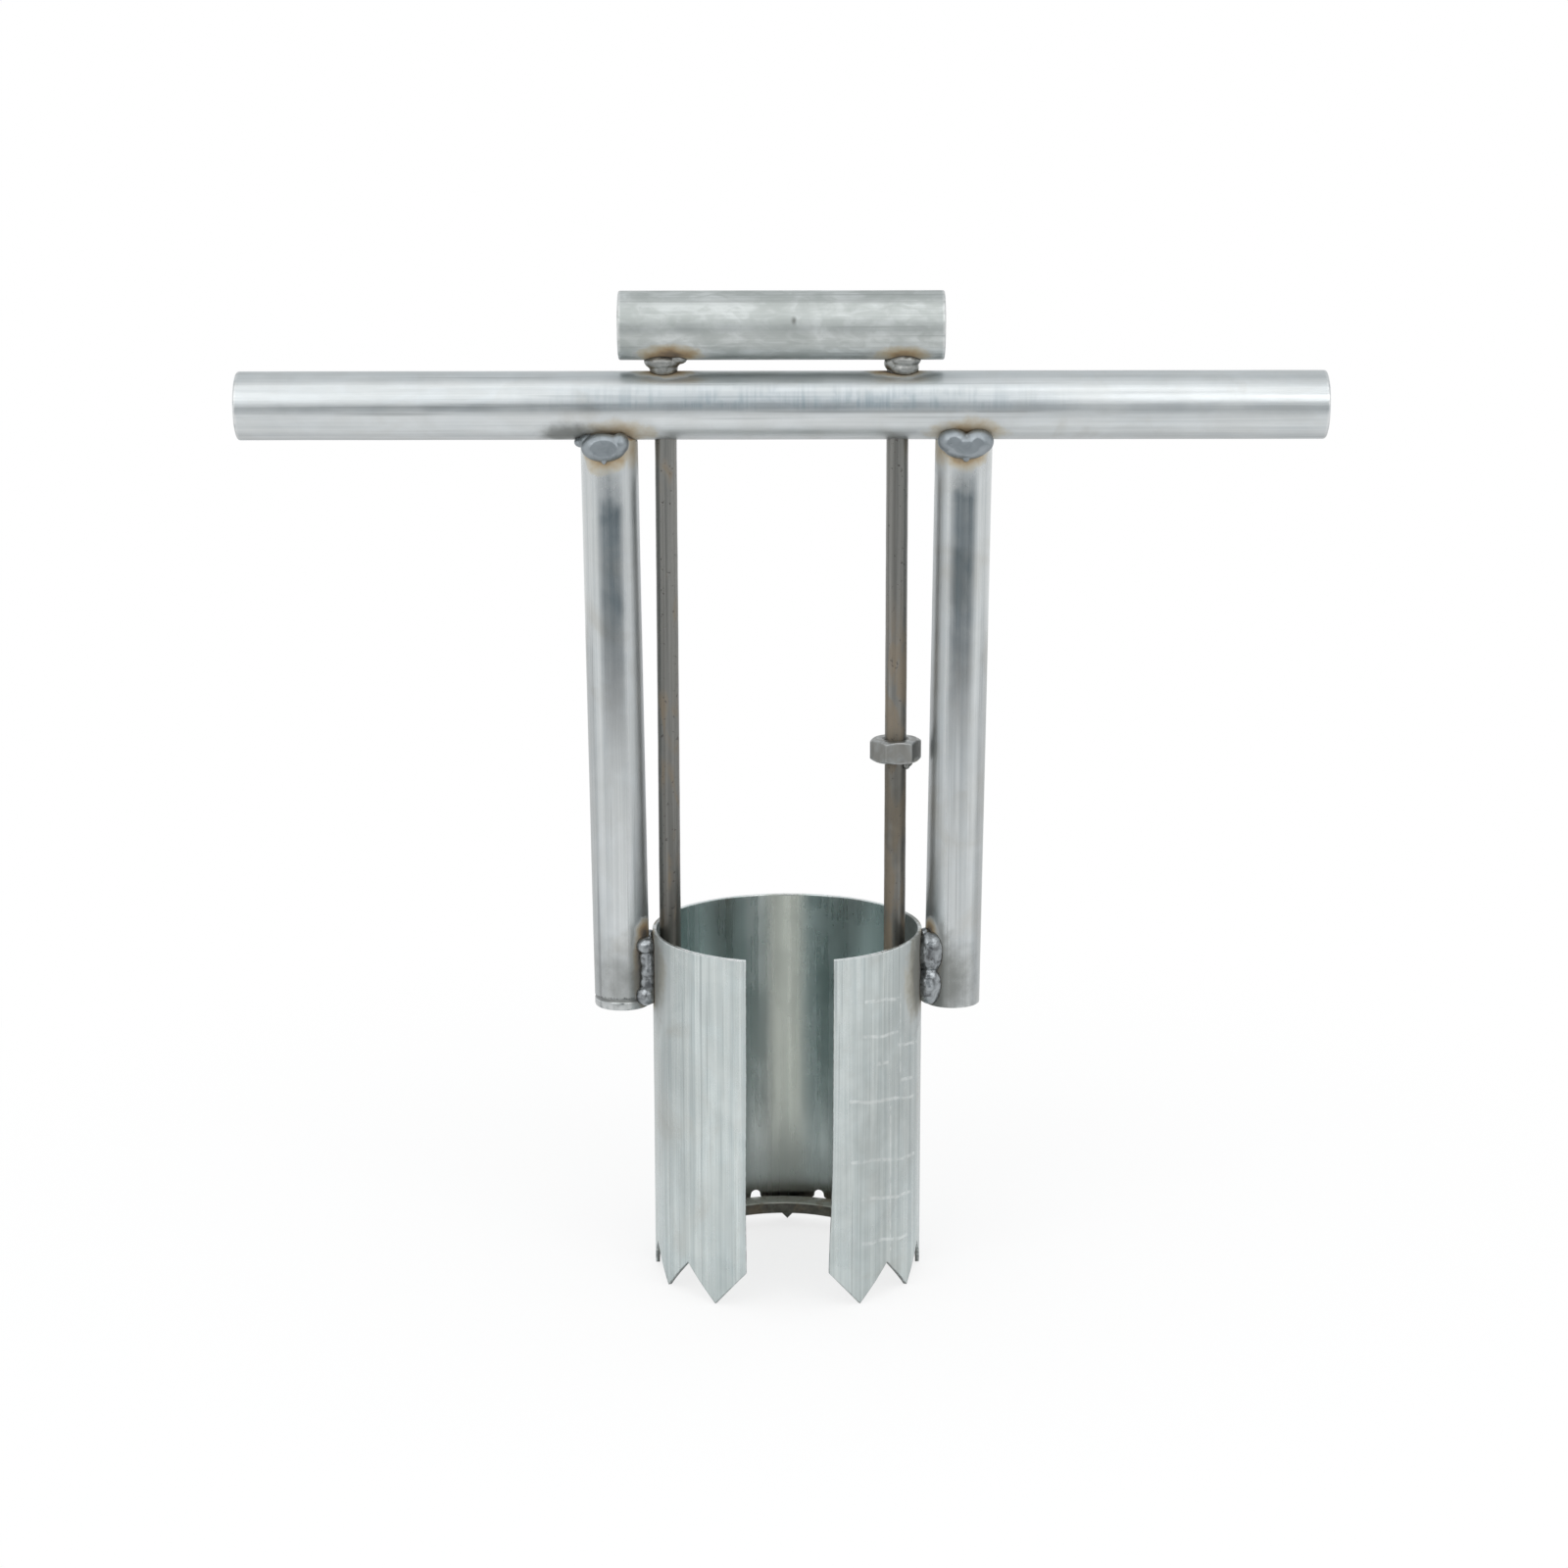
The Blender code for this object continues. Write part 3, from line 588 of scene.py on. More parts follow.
# %% Zinc tube finish
def zinc_tube(name, pale, dull, grain, spots, fumes, roughness, stain_cover, stain=OLIVE_STAIN,
              blot_share=0.12, blot_scale=120.0, fineness=1500.0, rub_marks_and_stripe=None, strokes=(),
              bore=None, seam=None, dull_within=None):
    material, position, wear = start_material(name)
    lines = use_group(drawn_lines, Position=position, Grain=grain, Fineness=fineness)
    mottle = use_group(smudges, Position=position, Scale=55.0, Cover=0.55, Softness=0.2)
    stained = use_group(smudges, Position=position, Scale=38.0, Cover=stain_cover)
    toned = (lines["Fine"] * 0.34 + lines["Broad"] * 0.46 + mottle * 0.3).clamped()
    colour = toned.between(dull, pale)
    outside = 1.0
    edge_wear_and_shade = BRIGHT_EDGE
    if bore is not None:
        from_axis = position.arrow("MULTIPLY", LEVEL).length()
        outside = from_axis.fade(bore + 0.3 * MM, bore + MM)
        colour = bore_painted_light_and_dirt(colour, position, 1.0 - outside)
        # Below the rim, the cut edges of the teeth and slot get painted shade, the dark line of their
        # rounded corners. Near the rim, the edges are rubbed bright.
        near_rim = position.axis("Z").fade(rim - 6 * MM, rim - 2 * MM)
        edge_wear_and_shade = near_rim.between(PAINTED_EDGE_SHADE, BRIGHT_EDGE)
    squeezed = position.arrow("MULTIPLY", [0.5 + 0.5 * share for share in grain])
    blots = use_group(smudges, Position=squeezed, Scale=blot_scale, Cover=0.58, Softness=0.12)
    blots = blots * outside
    hair = lines["Hair"] * 0.4 * outside
    colour = colour.layered(
        (stained * 0.45 * outside, stain), (hair, [shade * 0.6 for shade in dull]),
        (blots * blot_share, stain),
    )
    height = lines["Fine"] * position.maths("MAXIMUM", outside, 0.3)
    gloss = lines["Broad"] * -0.07 + blots * (0.2 * blot_share)
    if rub_marks_and_stripe is not None:
        painted_stripe, marked = rub_marks_and_painted_stripe(position, *rub_marks_and_stripe)
        # The band is a painted reflection of the dim room, darkest at the handle's middle. The rub
        # marks lie in it.
        colour = colour.tinted((painted_stripe * 0.5 + marked * 0.45).clamped(), BLUE_RUB_AND_PAINTED_STRIPE)
        gloss += marked * 0.1
        height += marked
    if strokes:
        wall = use_group(unrolled_wall, Position=position, Radius=cylinder_radius)
        scored = strongest(
            use_group(scratch_stroke, Place=wall, Start=start, Run=run, Width=width)
            for start, run, width in strokes
        )
        colour = colour.tinted(scored * 0.6, PALE_SCRATCH)
        gloss += scored * 0.2
    fumed = most_heat(position, fumes).fade(0.0, 0.55)
    gloss += fumed * 0.15
    if dull_within is not None:
        inner = abs(position.axis("X")).fade(dull_within + 2 * MM, dull_within - 3 * MM)
        gloss += inner * 0.25
    if seam is not None:
        # Painted shade: a dark line along the groove above the rolled foot.
        groove_shade = abs(position.axis("Z") - seam).fade(0.8 * MM, 0.3 * MM) * 0.65
        colour = colour.tinted(groove_shade, GROOVE_PAINTED_SHADE)
        gloss += groove_shade * 0.3
    heat = most_heat(position, spots) * position.maths("MAXIMUM", outside, 0.25)
    burnt = use_group(heat_colours, Bare=colour, Heat=heat)
    dulling = burnt["Dulling"]
    colour = burnt["Colour"].tinted(fumed * 0.9, WELD_FUME)
    clean = (1.0 - dulling - fumed).clamped()
    bright = use_group(rubbed_edges, Position=position, Wear=wear, Amount=0.65)
    colour = colour.tinted(bright * clean, edge_wear_and_shade)
    rough = (roughness + gloss + mottle * 0.06 + dulling * 0.35).clamped()
    return finish_surface(material, colour, rough, 1.0 - dulling * 0.35, height, 0.007 * MM)


# %% [markdown]
# ## Helpers for mesh pieces
# Each piece is built as points and faces in the tool's own frame, then it is told which body it
# rides on, which CAD node it stands for and which finish it wears. A point attribute called wear
# marks the edges. Flat shading would show every facet, so the faces are smooth, and short extra
# rows beside each edge keep the shading of long walls straight.

# %% Helpers for mesh pieces
def dress(piece, material, body, node, wear, sharp):
    piece.data.attributes.new("wear", "FLOAT", "POINT").data.foreach_set("value", wear)
    piece.data.shade_smooth()
    piece.data.set_sharp_from_angle(angle=math.radians(sharp))
    piece.data.materials.clear()
    piece.data.materials.append(material)
    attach(piece, body)
    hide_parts(node)
    print(piece.name, "has", len(piece.data.vertices), "points")
    return piece


def steel_piece(name, points, faces, material, body, node, wear, sharp=60.0):
    mesh = bpy.data.meshes.new(name)
    mesh.from_pydata(points, [], faces)
    bm = bmesh.new()
    bm.from_mesh(mesh)
    bmesh.ops.recalc_face_normals(bm, faces=bm.faces)
    return dress(built_object(name, bm, mesh), material, body, node, wear, sharp)


def ring_faces(columns, rows, closed_columns=True, closed_rows=True):
    """Quads of a grid whose points are numbered column by column."""
    faces = []
    for column in range(columns if closed_columns else columns - 1):
        here = column * rows
        after = (column + 1) % columns * rows
        for row in range(rows if closed_rows else rows - 1):
            above = (row + 1) % rows
            faces.append((here + row, after + row, after + above, here + above))
    return faces


def waver(point, size, amount):
    """A small, smooth unevenness, the same at every run."""
    return amount * noise.noise(point / size)


def around(x, radius, angle, height):
    """A point at a turn about the upright axis that stands at x."""
    return Vector((x + radius * math.cos(angle), radius * math.sin(angle), height))


# %% [markdown]
# ## Tubes
# A tube is one outline turned about its axis: up the outside, over a rounded sawn edge, down the
# bore and round the lower edge. Each point of the outline says how far along the tube it lies as
# a share of the length plus an offset, so one outline fits a square end and a saddle shaped end.

# %% Tube outline and tube piece
CORNER_TURNS = (0.0, math.pi / 6, math.pi / 3, math.pi / 2)
tube_uneven = 0.04 * MM
tube_steps = 128


def tube_outline(outer, outer_edge, inner_edge, rows, low_extra=()):
    """Points as radius, share of the length, offset and wear, with both walls' edges rounded."""
    inner = outer - tube_wall
    support = 0.7 * MM

    def corner(wall, edge, share, worn, turns):
        way = -1 if wall == outer else 1
        rise = -1 if share else 1
        return [
            (wall + way * edge * (1 - math.cos(turn)), share, rise * edge * (1 - math.sin(turn)), worn)
            for turn in turns
        ]

    outline = [(outer, 0, outer_edge, 0.8)]
    outline += list(low_extra) or [(outer, 0, outer_edge + support, 0)]
    outline += [(outer, row / rows, 0, 0) for row in range(1, rows)]
    outline += [(outer, 1, -outer_edge - support, 0), (outer, 1, -outer_edge, 0.8)]
    outline += corner(outer, outer_edge, 1, 1, CORNER_TURNS[1:])
    outline += corner(inner, inner_edge, 1, 0.8, reversed(CORNER_TURNS))
    outline.append((inner, 1, -inner_edge - support, 0))
    outline += [(inner, 1 - row / rows, 0, 0) for row in range(1, rows)]
    outline.append((inner, 0, inner_edge + support, 0))
    outline += corner(inner, inner_edge, 0, 0.8, CORNER_TURNS)
    outline += corner(outer, outer_edge, 0, 1, reversed(CORNER_TURNS[1:]))
    return outline


def tube_piece(name, outline, steps, low, high, spot, material, body, node):
    """Turns the outline: low and high give the ends of a line on the wall, spot places a point."""
    points = []
    wear = []
    for step in range(steps):
        angle = 2 * math.pi * step / steps
        for radius, share, offset, worn in outline:
            bottom = low(angle, radius)
            along = bottom + (high(angle, radius) - bottom) * share + offset
            radius += waver(spot(radius, angle, along), 32 * MM, tube_uneven) - tube_uneven
            points.append(spot(radius, angle, along))
            wear.append(worn)
    return steel_piece(name, points, ring_faces(steps, len(outline)), material, body, node, wear)


def level_tube(name, outline, material, body, node):
    """A tube along X that fills the node's box from end to end."""
    low, high, middle = box_of(node)

    def spot(radius, angle, along):
        return Vector((along, radius * math.cos(angle), middle.z + radius * math.sin(angle)))

    return tube_piece(
        name, outline, tube_steps, lambda angle, radius: low.x, lambda angle, radius: high.x, spot,
        material, body, node,
    )


# %% [markdown]
# The cross handle takes the push of both palms. It is 25 mm tube, sawn square at both ends. Its
# underside is burnt where the legs are welded on, and its top carries painted shade round the
# rods, laid on with heat colours under the grip and its beads.

# %% Where the welds are
handle_axis = handle_mid.z
leg_slope = (leg_head_x - leg_foot_x) / (handle_axis - leg_foot)


def leg_x(side, height):
    return side * (leg_foot_x + (height - leg_foot) * leg_slope)


weld_height = 317.5 * MM
foot_weld_height = 120.0 * MM
top_welds = {
    side: Vector((x, -11.0 * MM, weld_height))
    for side, x in ((-1, -66.4 * MM), (1, leg_x(1, weld_height)))
}
print("legs stand at", round(leg_x(-1, weld_height), 4), round(leg_x(1, weld_height), 4))

# %% Cross handle finish
PALE_ZINC = (0.67, 0.70, 0.71)
DULL_ZINC = (0.53, 0.565, 0.58)
ALONG_X = (0.012, 1, 1)
ALONG_Z = (1, 1, 0.012)
ROUND_X = (1, 0.05, 0.05)


def mirrored_spots(spots):
    """The same welds again at the back."""
    flip = Vector((1, -1, 1))
    return spots + [(centre * flip, reach, strength) for centre, reach, strength in spots]


handle_spots = mirrored_spots([
    (top_welds[-1] + at(5.5, 0, 1), at(21, 12, 10.5), 0.5),
    (top_welds[1] + at(1, 0, 1), at(20, 12, 11), 0.6),
])
# Painted shade: heat colours on the handle's top at the rods, under the grip and its beads.
handle_spots += [
    (Vector((rod_x[side], -2 * MM, handle_high.z)), at(13, 7, 3.5), 0.8) for side in (-1, 1)
]
handle_zinc = zinc_tube(
    "handle_zinc", PALE_ZINC, DULL_ZINC, ALONG_X, handle_spots,
    mirrored_spots([(at(-79, -8, 320), at(15, 9, 8), 0.75)]), roughness=0.37, stain_cover=0.2,
    # The band of painted reflection on the handle's front, and its rub marks.
    rub_marks_and_stripe=(ROUND_X, 4 * MM, 75 * MM, 329.5 * MM, 337.5 * MM),
)

# %% Cross handle
handle_outline = tube_outline(handle_radius, 0.8 * MM, 0.2 * MM, 72)
handle = level_tube(
    "handle_tube", handle_outline, handle_zinc, "frame", "cross_handle"
)

# %% [markdown]
# The rods slide through two drilled holes. A boolean is the plain way to drill: a round cutter is
# taken away and then removed. It leaves long thin faces round the hole, so the walls get the exact
# normals of a cylinder afterwards, which hides how the faces are split.

# %% Helpers for cutting
square_on = 0.985


def round_cutter(start, end, radius, steps=96):
    axis = end - start
    bm = bmesh.new()
    turn = axis.to_track_quat("Z", "Y").to_matrix().to_4x4()
    bmesh.ops.create_cone(
        bm, cap_ends=True, segments=steps, radius1=radius, radius2=radius, depth=axis.length,
        matrix=Matrix.Translation((start + end) / 2) @ turn,
    )
    return built_object("cutter", bm)


def settle(piece):
    """Turns what the modifiers make into the piece's own mesh."""
    bpy.context.view_layer.update()
    graph = bpy.context.evaluated_depsgraph_get()
    mesh = bpy.data.meshes.new_from_object(piece.evaluated_get(graph))
    mesh.name = piece.name
    piece.modifiers.clear()
    piece.data = mesh


def cut_away(piece, cutters):
    for cutter in cutters:
        boolean = piece.modifiers.new("cut", "BOOLEAN")
        boolean.operation = "DIFFERENCE"
        boolean.solver = "EXACT"
        boolean.object = cutter
    settle(piece)
    for cutter in cutters:
        bpy.data.objects.remove(cutter, do_unlink=True)


def true_round_walls(piece, centre, axis):
    """Exact cylinder normals on every face that belongs to a round wall about the axis."""
    mesh = piece.data
    normals = [Vector(corner.vector) for corner in mesh.corner_normals]
    for face in mesh.polygons:
        middle = face.center - centre
        out = (middle - axis * middle.dot(axis)).normalized()
        facing = face.normal.dot(out)
        if abs(facing) > square_on:
            for corner in face.loop_indices:
                spoke = mesh.vertices[mesh.loops[corner].vertex_index].co - centre
                spoke -= axis * spoke.dot(axis)
                normals[corner] = spoke.normalized() * math.copysign(1, facing)
    mesh.normals_split_custom_set(normals)


# %% Drill the handle for the rods
hole_radius = rod_radius + 0.5 * MM
hole_edge = math.radians(40)
drill_reach = Vector((0, 0, 2 * handle_radius))
drills = []
for side in (-1, 1):
    middle = Vector((rod_x[side], 0, handle_axis))
    drills.append(round_cutter(middle - drill_reach, middle + drill_reach, hole_radius))
cut_away(handle, drills)
handle.data.set_sharp_from_angle(angle=hole_edge)
true_round_walls(handle, Vector((0, 0, handle_axis)), Vector((1, 0, 0)))
print("drilled handle has", len(handle.data.vertices), "points")

# %% [markdown]
# The ejector's grip is a shorter piece of the same tube, darker from handling: grey green smudges
# lie all over it, and the welds below have left soot on its underside.

# %% Grip
grip_spots = mirrored_spots([
    (Vector((rod_x[-1] + 2.0 * MM, -8 * MM, 347.5 * MM)), at(15, 9, 8.5), 0.72),
    (Vector((rod_x[1] + 1.5 * MM, -8 * MM, 347.5 * MM)), at(13, 9, 7.0), 0.6),
])
grip_mark = [(at(2.7, -12.2, 361.5), at(1.4, 1.5, 2.4), 0.5)]
grip_zinc = zinc_tube(
    "grip_zinc", (0.655, 0.685, 0.68), (0.50, 0.53, 0.525), ALONG_X, grip_spots, grip_mark,
    roughness=0.45, stain_cover=0.6, stain=(0.37, 0.40, 0.385), blot_share=0.4, blot_scale=240.0,
)
grip_outline = tube_outline(grip_radius, 0.7 * MM, 0.25 * MM, 36)
level_tube("grip_tube", grip_outline, grip_zinc, "ejector", "ejector_grip")

# %% [markdown]
# The legs lean in a little towards the cylinder. Their tops are cut to a saddle that fits the
# round underside of the handle. The saddle's height is a plain formula: at a distance y from the
# middle, the handle's underside stands at its axis less the root of its radius squared less y
# squared. The horns at the front and back were ground off before welding. The left foot was
# parted with a wheel cutter, which rolled its end inwards, drew it out by a millimetre and left a
# fine groove above it, which carries a painted shade. The right foot was sawn.

# %% Leg finishes
def leg_zinc(side, pale, dull, top_reach, haze_reach, fume_reach, fume_strength, **more):
    """Zinc with the burns of a leg's top and foot welds, and the fumes at its foot."""
    name = f"{dict(HANDS)[side]}_leg_zinc"
    foot_x = side * 53.8 * MM
    spots = mirrored_spots([
        (top_welds[side] - at(0, 0, 1.5), at(*top_reach), 0.8),
        (top_welds[side] - at(0, 0, 4), at(*haze_reach), 0.16),
        (Vector((foot_x, -7 * MM, foot_weld_height)), at(6.0, 5.2, 20), 0.95),
        (Vector((foot_x, -5 * MM, 133 * MM)), at(5, 6, 7), 0.75),
        # Heat tint at the leg's top, made strong here as painted shade in the crevice under the handle.
        (at(side * 56.5, -6, 320), at(5, 6, 3), 0.9),
        (at(side * 57, -4, 315), at(7, 10, 12), 0.36),
    ])
    fumes = mirrored_spots([(at(side * 56, -8, 115), at(fume_reach, 13, 27), fume_strength)])
    return zinc_tube(
        name, pale, dull, ALONG_Z, spots, fumes, roughness=0.14, dull_within=leg_foot_x - 3 * MM, **more
    )


left_leg_zinc = leg_zinc(
    -1, (0.62, 0.65, 0.66), (0.48, 0.515, 0.53), (15, 9, 12), (20, 12, 23), 27, 0.5,
    stain_cover=0.25, seam=leg_foot + 2.7 * MM,
)
right_leg_zinc = leg_zinc(
    1, (0.61, 0.64, 0.65), (0.47, 0.505, 0.52), (15, 9, 11), (20, 12, 17), 19, 0.75, stain_cover=0.35
)

# %% Legs
saddle_radius = handle_radius - 0.1 * MM
saddle_top = 320.4 * MM
leg_steps = 112


def saddle(angle, radius):
    fitted = handle_axis - math.sqrt(saddle_radius**2 - (radius * math.sin(angle)) ** 2)
    return min(fitted, saddle_top)


def leg_spot(side):
    def spot(radius, angle, height):
        return around(leg_x(side, height), radius, angle, height)
    return spot


rolled_length = 1.0 * MM
rolled_foot = [
    (leg_radius - inset * MM, 0, rise * MM + rolled_length, worn)
    for inset, rise, worn in (
        (0, 1.5, 0.3), (0.05, 2.1, 0.1), (0.6, 2.5, 0), (0.7, 2.9, 0), (0.3, 3.5, 0), (0, 4.6, 0),
    )
]
for side, hand, zinc, edge, extra, foot in (
    (-1, "left", left_leg_zinc, 0.9 * MM, rolled_foot, leg_foot - rolled_length),
    (1, "right", right_leg_zinc, 0.35 * MM, (), leg_foot),
):
    outline = tube_outline(leg_radius, edge, 0.2 * MM, 48, extra)
    tube_piece(
        f"{hand}_leg_tube", outline, leg_steps, lambda angle, radius: foot, saddle, leg_spot(side),
        zinc, "frame", f"{hand}_leg",
    )

# %% [markdown]
# ## Cutting cylinder
# A thin tube with a slot down its front and a crown of V teeth. It could be a tube with booleans,
# but a slot and eleven teeth leave ragged shading. Instead one level section of the wall is drawn
# as a closed loop: round the outside, over the slot's edge, back along the bore and over the other
# edge. The loop is stacked from the teeth to the rim, and each end is rounded inwards and closed.
# The teeth and the slot were cut by hand, so the teeth beside the slot stand a little further
# round than even ones, and the slot's edges wander a little to the right on their way up.

# %% Teeth
slot_half = 15.25 * MM
tooth_pitch = math.radians(29.7)
tooth_height = 13.2 * MM
valley_round = 2.1 * MM
valley_top = 0.75 * MM
valley_side = 3.5 * MM
valley_slope = 0.64
# Where even teeth would stand and where they were cut, in degrees from the back.
TOOTH_PLACES = ((0, 0), (95, 95), (118.8, 117.2), (133.65, 132.6), (148.5, 147.8), (164.3, 162.5))


def moved_tooth(angle, start, end):
    """Turns an even angle from the back into where the tooth was cut, or back again."""
    size = math.degrees(abs(angle))
    for low, high in zip(TOOTH_PLACES, TOOTH_PLACES[1:]):
        if size <= high[start] or high is TOOTH_PLACES[-1]:
            share = (size - low[start]) / (high[start] - low[start])
            return math.copysign(math.radians(low[end] + share * (high[end] - low[end])), angle)


def tooth_line(place_angle):
    """Height of the toothed edge at an angle from the back, where two valleys end in a round."""
    angle = moved_tooth(place_angle, 1, 0)
    from_tip = abs((angle + tooth_pitch / 2) % tooth_pitch - tooth_pitch / 2)
    if abs(angle) > 5 * tooth_pitch:
        from_tip = abs(angle) - 5 * tooth_pitch
    from_valley = tooth_height * (1 - from_tip / (tooth_pitch / 2))
    drop = from_valley
    if abs(angle) < tooth_pitch:
        if from_valley < valley_round:
            drop = valley_top + valley_round - math.sqrt(valley_round**2 - from_valley**2)
        else:
            drop = max(from_valley, valley_side + (from_valley - valley_round) * valley_slope)
    return cylinder_low.z + tooth_height - drop


print("teeth stand every", round(math.degrees(tooth_pitch), 2), "degrees")

# %% Slot edges
# How far each slot edge stands right of a straight cut, as height and shift in mm.
# The left one is held back at the top, where more would pass the solids' front.
LEFT_SLOT_EDGE = ((16, 0.0), (36, -0.2), (65, 0.0), (87, 0.25), (134, 0.28))
RIGHT_SLOT_EDGE = ((16, 0.0), (28, 0.4), (36, 0.8), (54, 1.3), (76, 1.52), (134, 1.65))
slot_bend_starts = math.radians(140)
slot_bend_full = math.radians(160)
slot_depth = math.sqrt(cylinder_radius**2 - slot_half**2)


def beside_slot(spot):
    """Turns the wall beside the slot a little, so that the slot's edges stand where they were cut."""
    turn = abs(math.atan2(spot.x, spot.y))
    share = (turn - slot_bend_starts) / (slot_bend_full - slot_bend_starts)
    share = min(1.0, max(0.0, share))
    edge = RIGHT_SLOT_EDGE if spot.x > 0 else LEFT_SLOT_EDGE
    height = min(max(spot.z / MM, edge[0][0]), edge[-1][0])
    for (low, first), (high, second) in zip(edge, edge[1:]):
        if height <= high:
            shift = first + (second - first) * (height - low) / (high - low)
            break
    return Matrix.Rotation(share * shift * MM / slot_depth, 3, "Z") @ spot


print("slot is", round(2 * slot_half / MM, 2), "mm wide at its foot")

# %% Wall section
bore_radius = cylinder_radius - tube_wall
wall_edge = 0.22 * MM
columns_per_tooth = 40
near_valley = 4
last_turn = math.radians(160.5)


def wall_section():
    """Points of the loop as place, direction into the steel and wear, from the left slot edge."""
    step = tooth_pitch / columns_per_tooth
    last = int(last_turn / step)
    near_edge = slot_half + wall_edge
    arcs = []
    corners = []
    for radius, sign in ((cylinder_radius, -1), (bore_radius, 1)):
        corner_radius = radius + sign * wall_edge
        corner = Vector((near_edge, -math.sqrt(corner_radius**2 - near_edge**2), 0))
        corner_angle = math.atan2(corner.x, corner.y)
        angles = [-corner_angle]
        for third in range(-3 * last, 3 * last + 1):
            from_valley = abs(abs(third) / 3 - columns_per_tooth / 2)
            if third % 3 == 0 or from_valley < near_valley:
                angles.append(moved_tooth(third * step / 3, 0, 1))
        angles.append(corner_angle)
        outs = [Vector((math.sin(angle), math.cos(angle), 0)) for angle in angles]
        arcs.append([(out * radius, out * sign, 0.0) for out in outs])
        corners.append(corner)
    (outside, inside), (outer, inner) = arcs, corners
    sideways = Vector((-1, 0, 0))
    right_turn = []
    for corner, first, second, shares in (
        (outer, outer.normalized(), sideways, (0.34, 0.67, 1.0)),
        (inner, sideways, -inner.normalized(), (0.0, 0.34, 0.67)),
    ):
        for share in shares:
            out = (first * (1 - share) + second * share).normalized()
            right_turn.append((corner + out * wall_edge, -out, 1.0))
    flip = Vector((-1, 1, 1))
    left_turn = [(place * flip, inward * flip, worn) for place, inward, worn in reversed(right_turn)]
    return outside + right_turn + inside[::-1] + left_turn, len(outside), len(right_turn)


section, arc_count, turn_count = wall_section()
print("wall section has", len(section), "points")

# %% Cylinder finish
# Each scratch runs from one turn and height to another, in degrees from the front and mm.
SCRATCHES = (
    (34.6, 116.7, 55.6, 114.4), (33.7, 103.4, 53.5, 101.6), (39.5, 92.3, 47.0, 91.3),
    (27.2, 79.6, 70.0, 73.0), (28.2, 56.0, 70.6, 49.8), (33.6, 40.7, 65.9, 35.6),
    (33.7, 23.8, 64.1, 19.4), (54.3, 96.2, 73.9, 92.5), (56.0, 82.5, 67.2, 81.2),
    (55.6, 116.0, 56.0, 81.3), (49.0, 73.4, 49.6, 17.5),
)
strokes = []
for from_turn, from_height, to_turn, to_height in SCRATCHES:
    start = Vector((math.radians(from_turn) * cylinder_radius, from_height * MM, 0))
    end = Vector((math.radians(to_turn) * cylinder_radius, to_height * MM, 0))
    upright = to_turn - from_turn < 1
    strokes.append((start, end - start, (0.5 if upright else 0.9) * MM))
foot_burns = [
    (Vector((side * 50.0 * MM, -7 * MM, foot_weld_height)), at(9, reach, 21), 0.8)
    for side, reach in ((-1, 7), (1, 9.5))
]
foot_hazes = [
    (at(side * 49, -13, 120), at(13, 21, 25), strength) for side, strength in ((-1, 0.27), (1, 0.42))
]
foot_fumes = [
    (at(side * 50, -14, 122), at(10, 15, 29), strength) for side, strength in ((-1, 0.62), (1, 0.8))
]
cylinder_zinc = zinc_tube(
    "cylinder_zinc", (0.65, 0.705, 0.70), (0.44, 0.50, 0.505), ALONG_Z,
    mirrored_spots(foot_burns + foot_hazes),
    # The first spot is not a weld fume: it greys the right front panel broadly, away from any weld.
    [(at(32, -39.5, 60), at(34, 34, 120), 0.24)] + mirrored_spots(foot_fumes),
    roughness=0.28, stain_cover=0.2, strokes=strokes, fineness=2000.0, bore=bore_radius,
)

# %% Cutting cylinder
tooth_zone = cylinder_low.z + tooth_height + 2.5 * MM
rim_support = 0.6 * MM
low_shares = (0.03, 0.12, 0.3, 0.55, 0.8)
wall_rows = 34
dent = 0.06 * MM
edge_rows = [
    (wall_edge * (1 - math.cos(turn)), wall_edge * (1 - math.sin(turn)), 1.0)
    for turn in (math.pi / 2, math.pi / 3, math.pi / 6)
]


def wall_column(foot):
    """Inset, height and wear from the toothed edge up to the rim."""
    low_rows = [(inset, 0.0, rise, worn) for inset, rise, worn in edge_rows]
    low_rows.append((0.0, 0.0, wall_edge, 0.9))
    low_rows += [(0.0, share, wall_edge * (1 - share), 0.0) for share in low_shares]
    column = [
        (inset, foot + (tooth_zone - foot) * share + rise, worn)
        for inset, share, rise, worn in low_rows
    ]
    column += [
        (0.0, tooth_zone + (rim - wall_edge - rim_support - tooth_zone) * row / wall_rows, 0.0)
        for row in range(wall_rows + 1)
    ]
    column.append((0.0, rim - wall_edge, 0.9))
    return column + [(inset, rim - drop, worn) for inset, drop, worn in reversed(edge_rows)]


points = []
wear = []
for place, inward, worn in section:
    column = wall_column(tooth_line(math.atan2(place.x, place.y)))
    for inset, height, edge_wear in column:
        spot = place + inward * inset + Vector((0, 0, height))
        radial = Vector((spot.x, spot.y, 0)).normalized()
        spot += radial * (waver(radial * 50 * MM + Vector((0, 0, height * 0.6)), 26 * MM, dent) - dent)
        points.append(beside_slot(spot))
        wear.append(max(edge_wear, worn))
rows = len(column)
faces = ring_faces(len(section), rows, closed_rows=False)


def close_end(row):
    """Joins the outside to the bore along one end, and fills in the two slot edges."""
    inner_start = arc_count + turn_count
    left_start = inner_start + arc_count
    outer = [index * rows + row for index in range(arc_count)]
    inner = [index * rows + row for index in reversed(range(inner_start, left_start))]
    right = [(arc_count + index) * rows + row for index in range(turn_count)]
    left = [(left_start + index) * rows + row for index in range(turn_count)]
    strips = list(zip(outer, outer[1:], inner[1:], inner))
    return strips + [(outer[-1], *right, inner[-1]), (inner[0], *left, outer[0])]


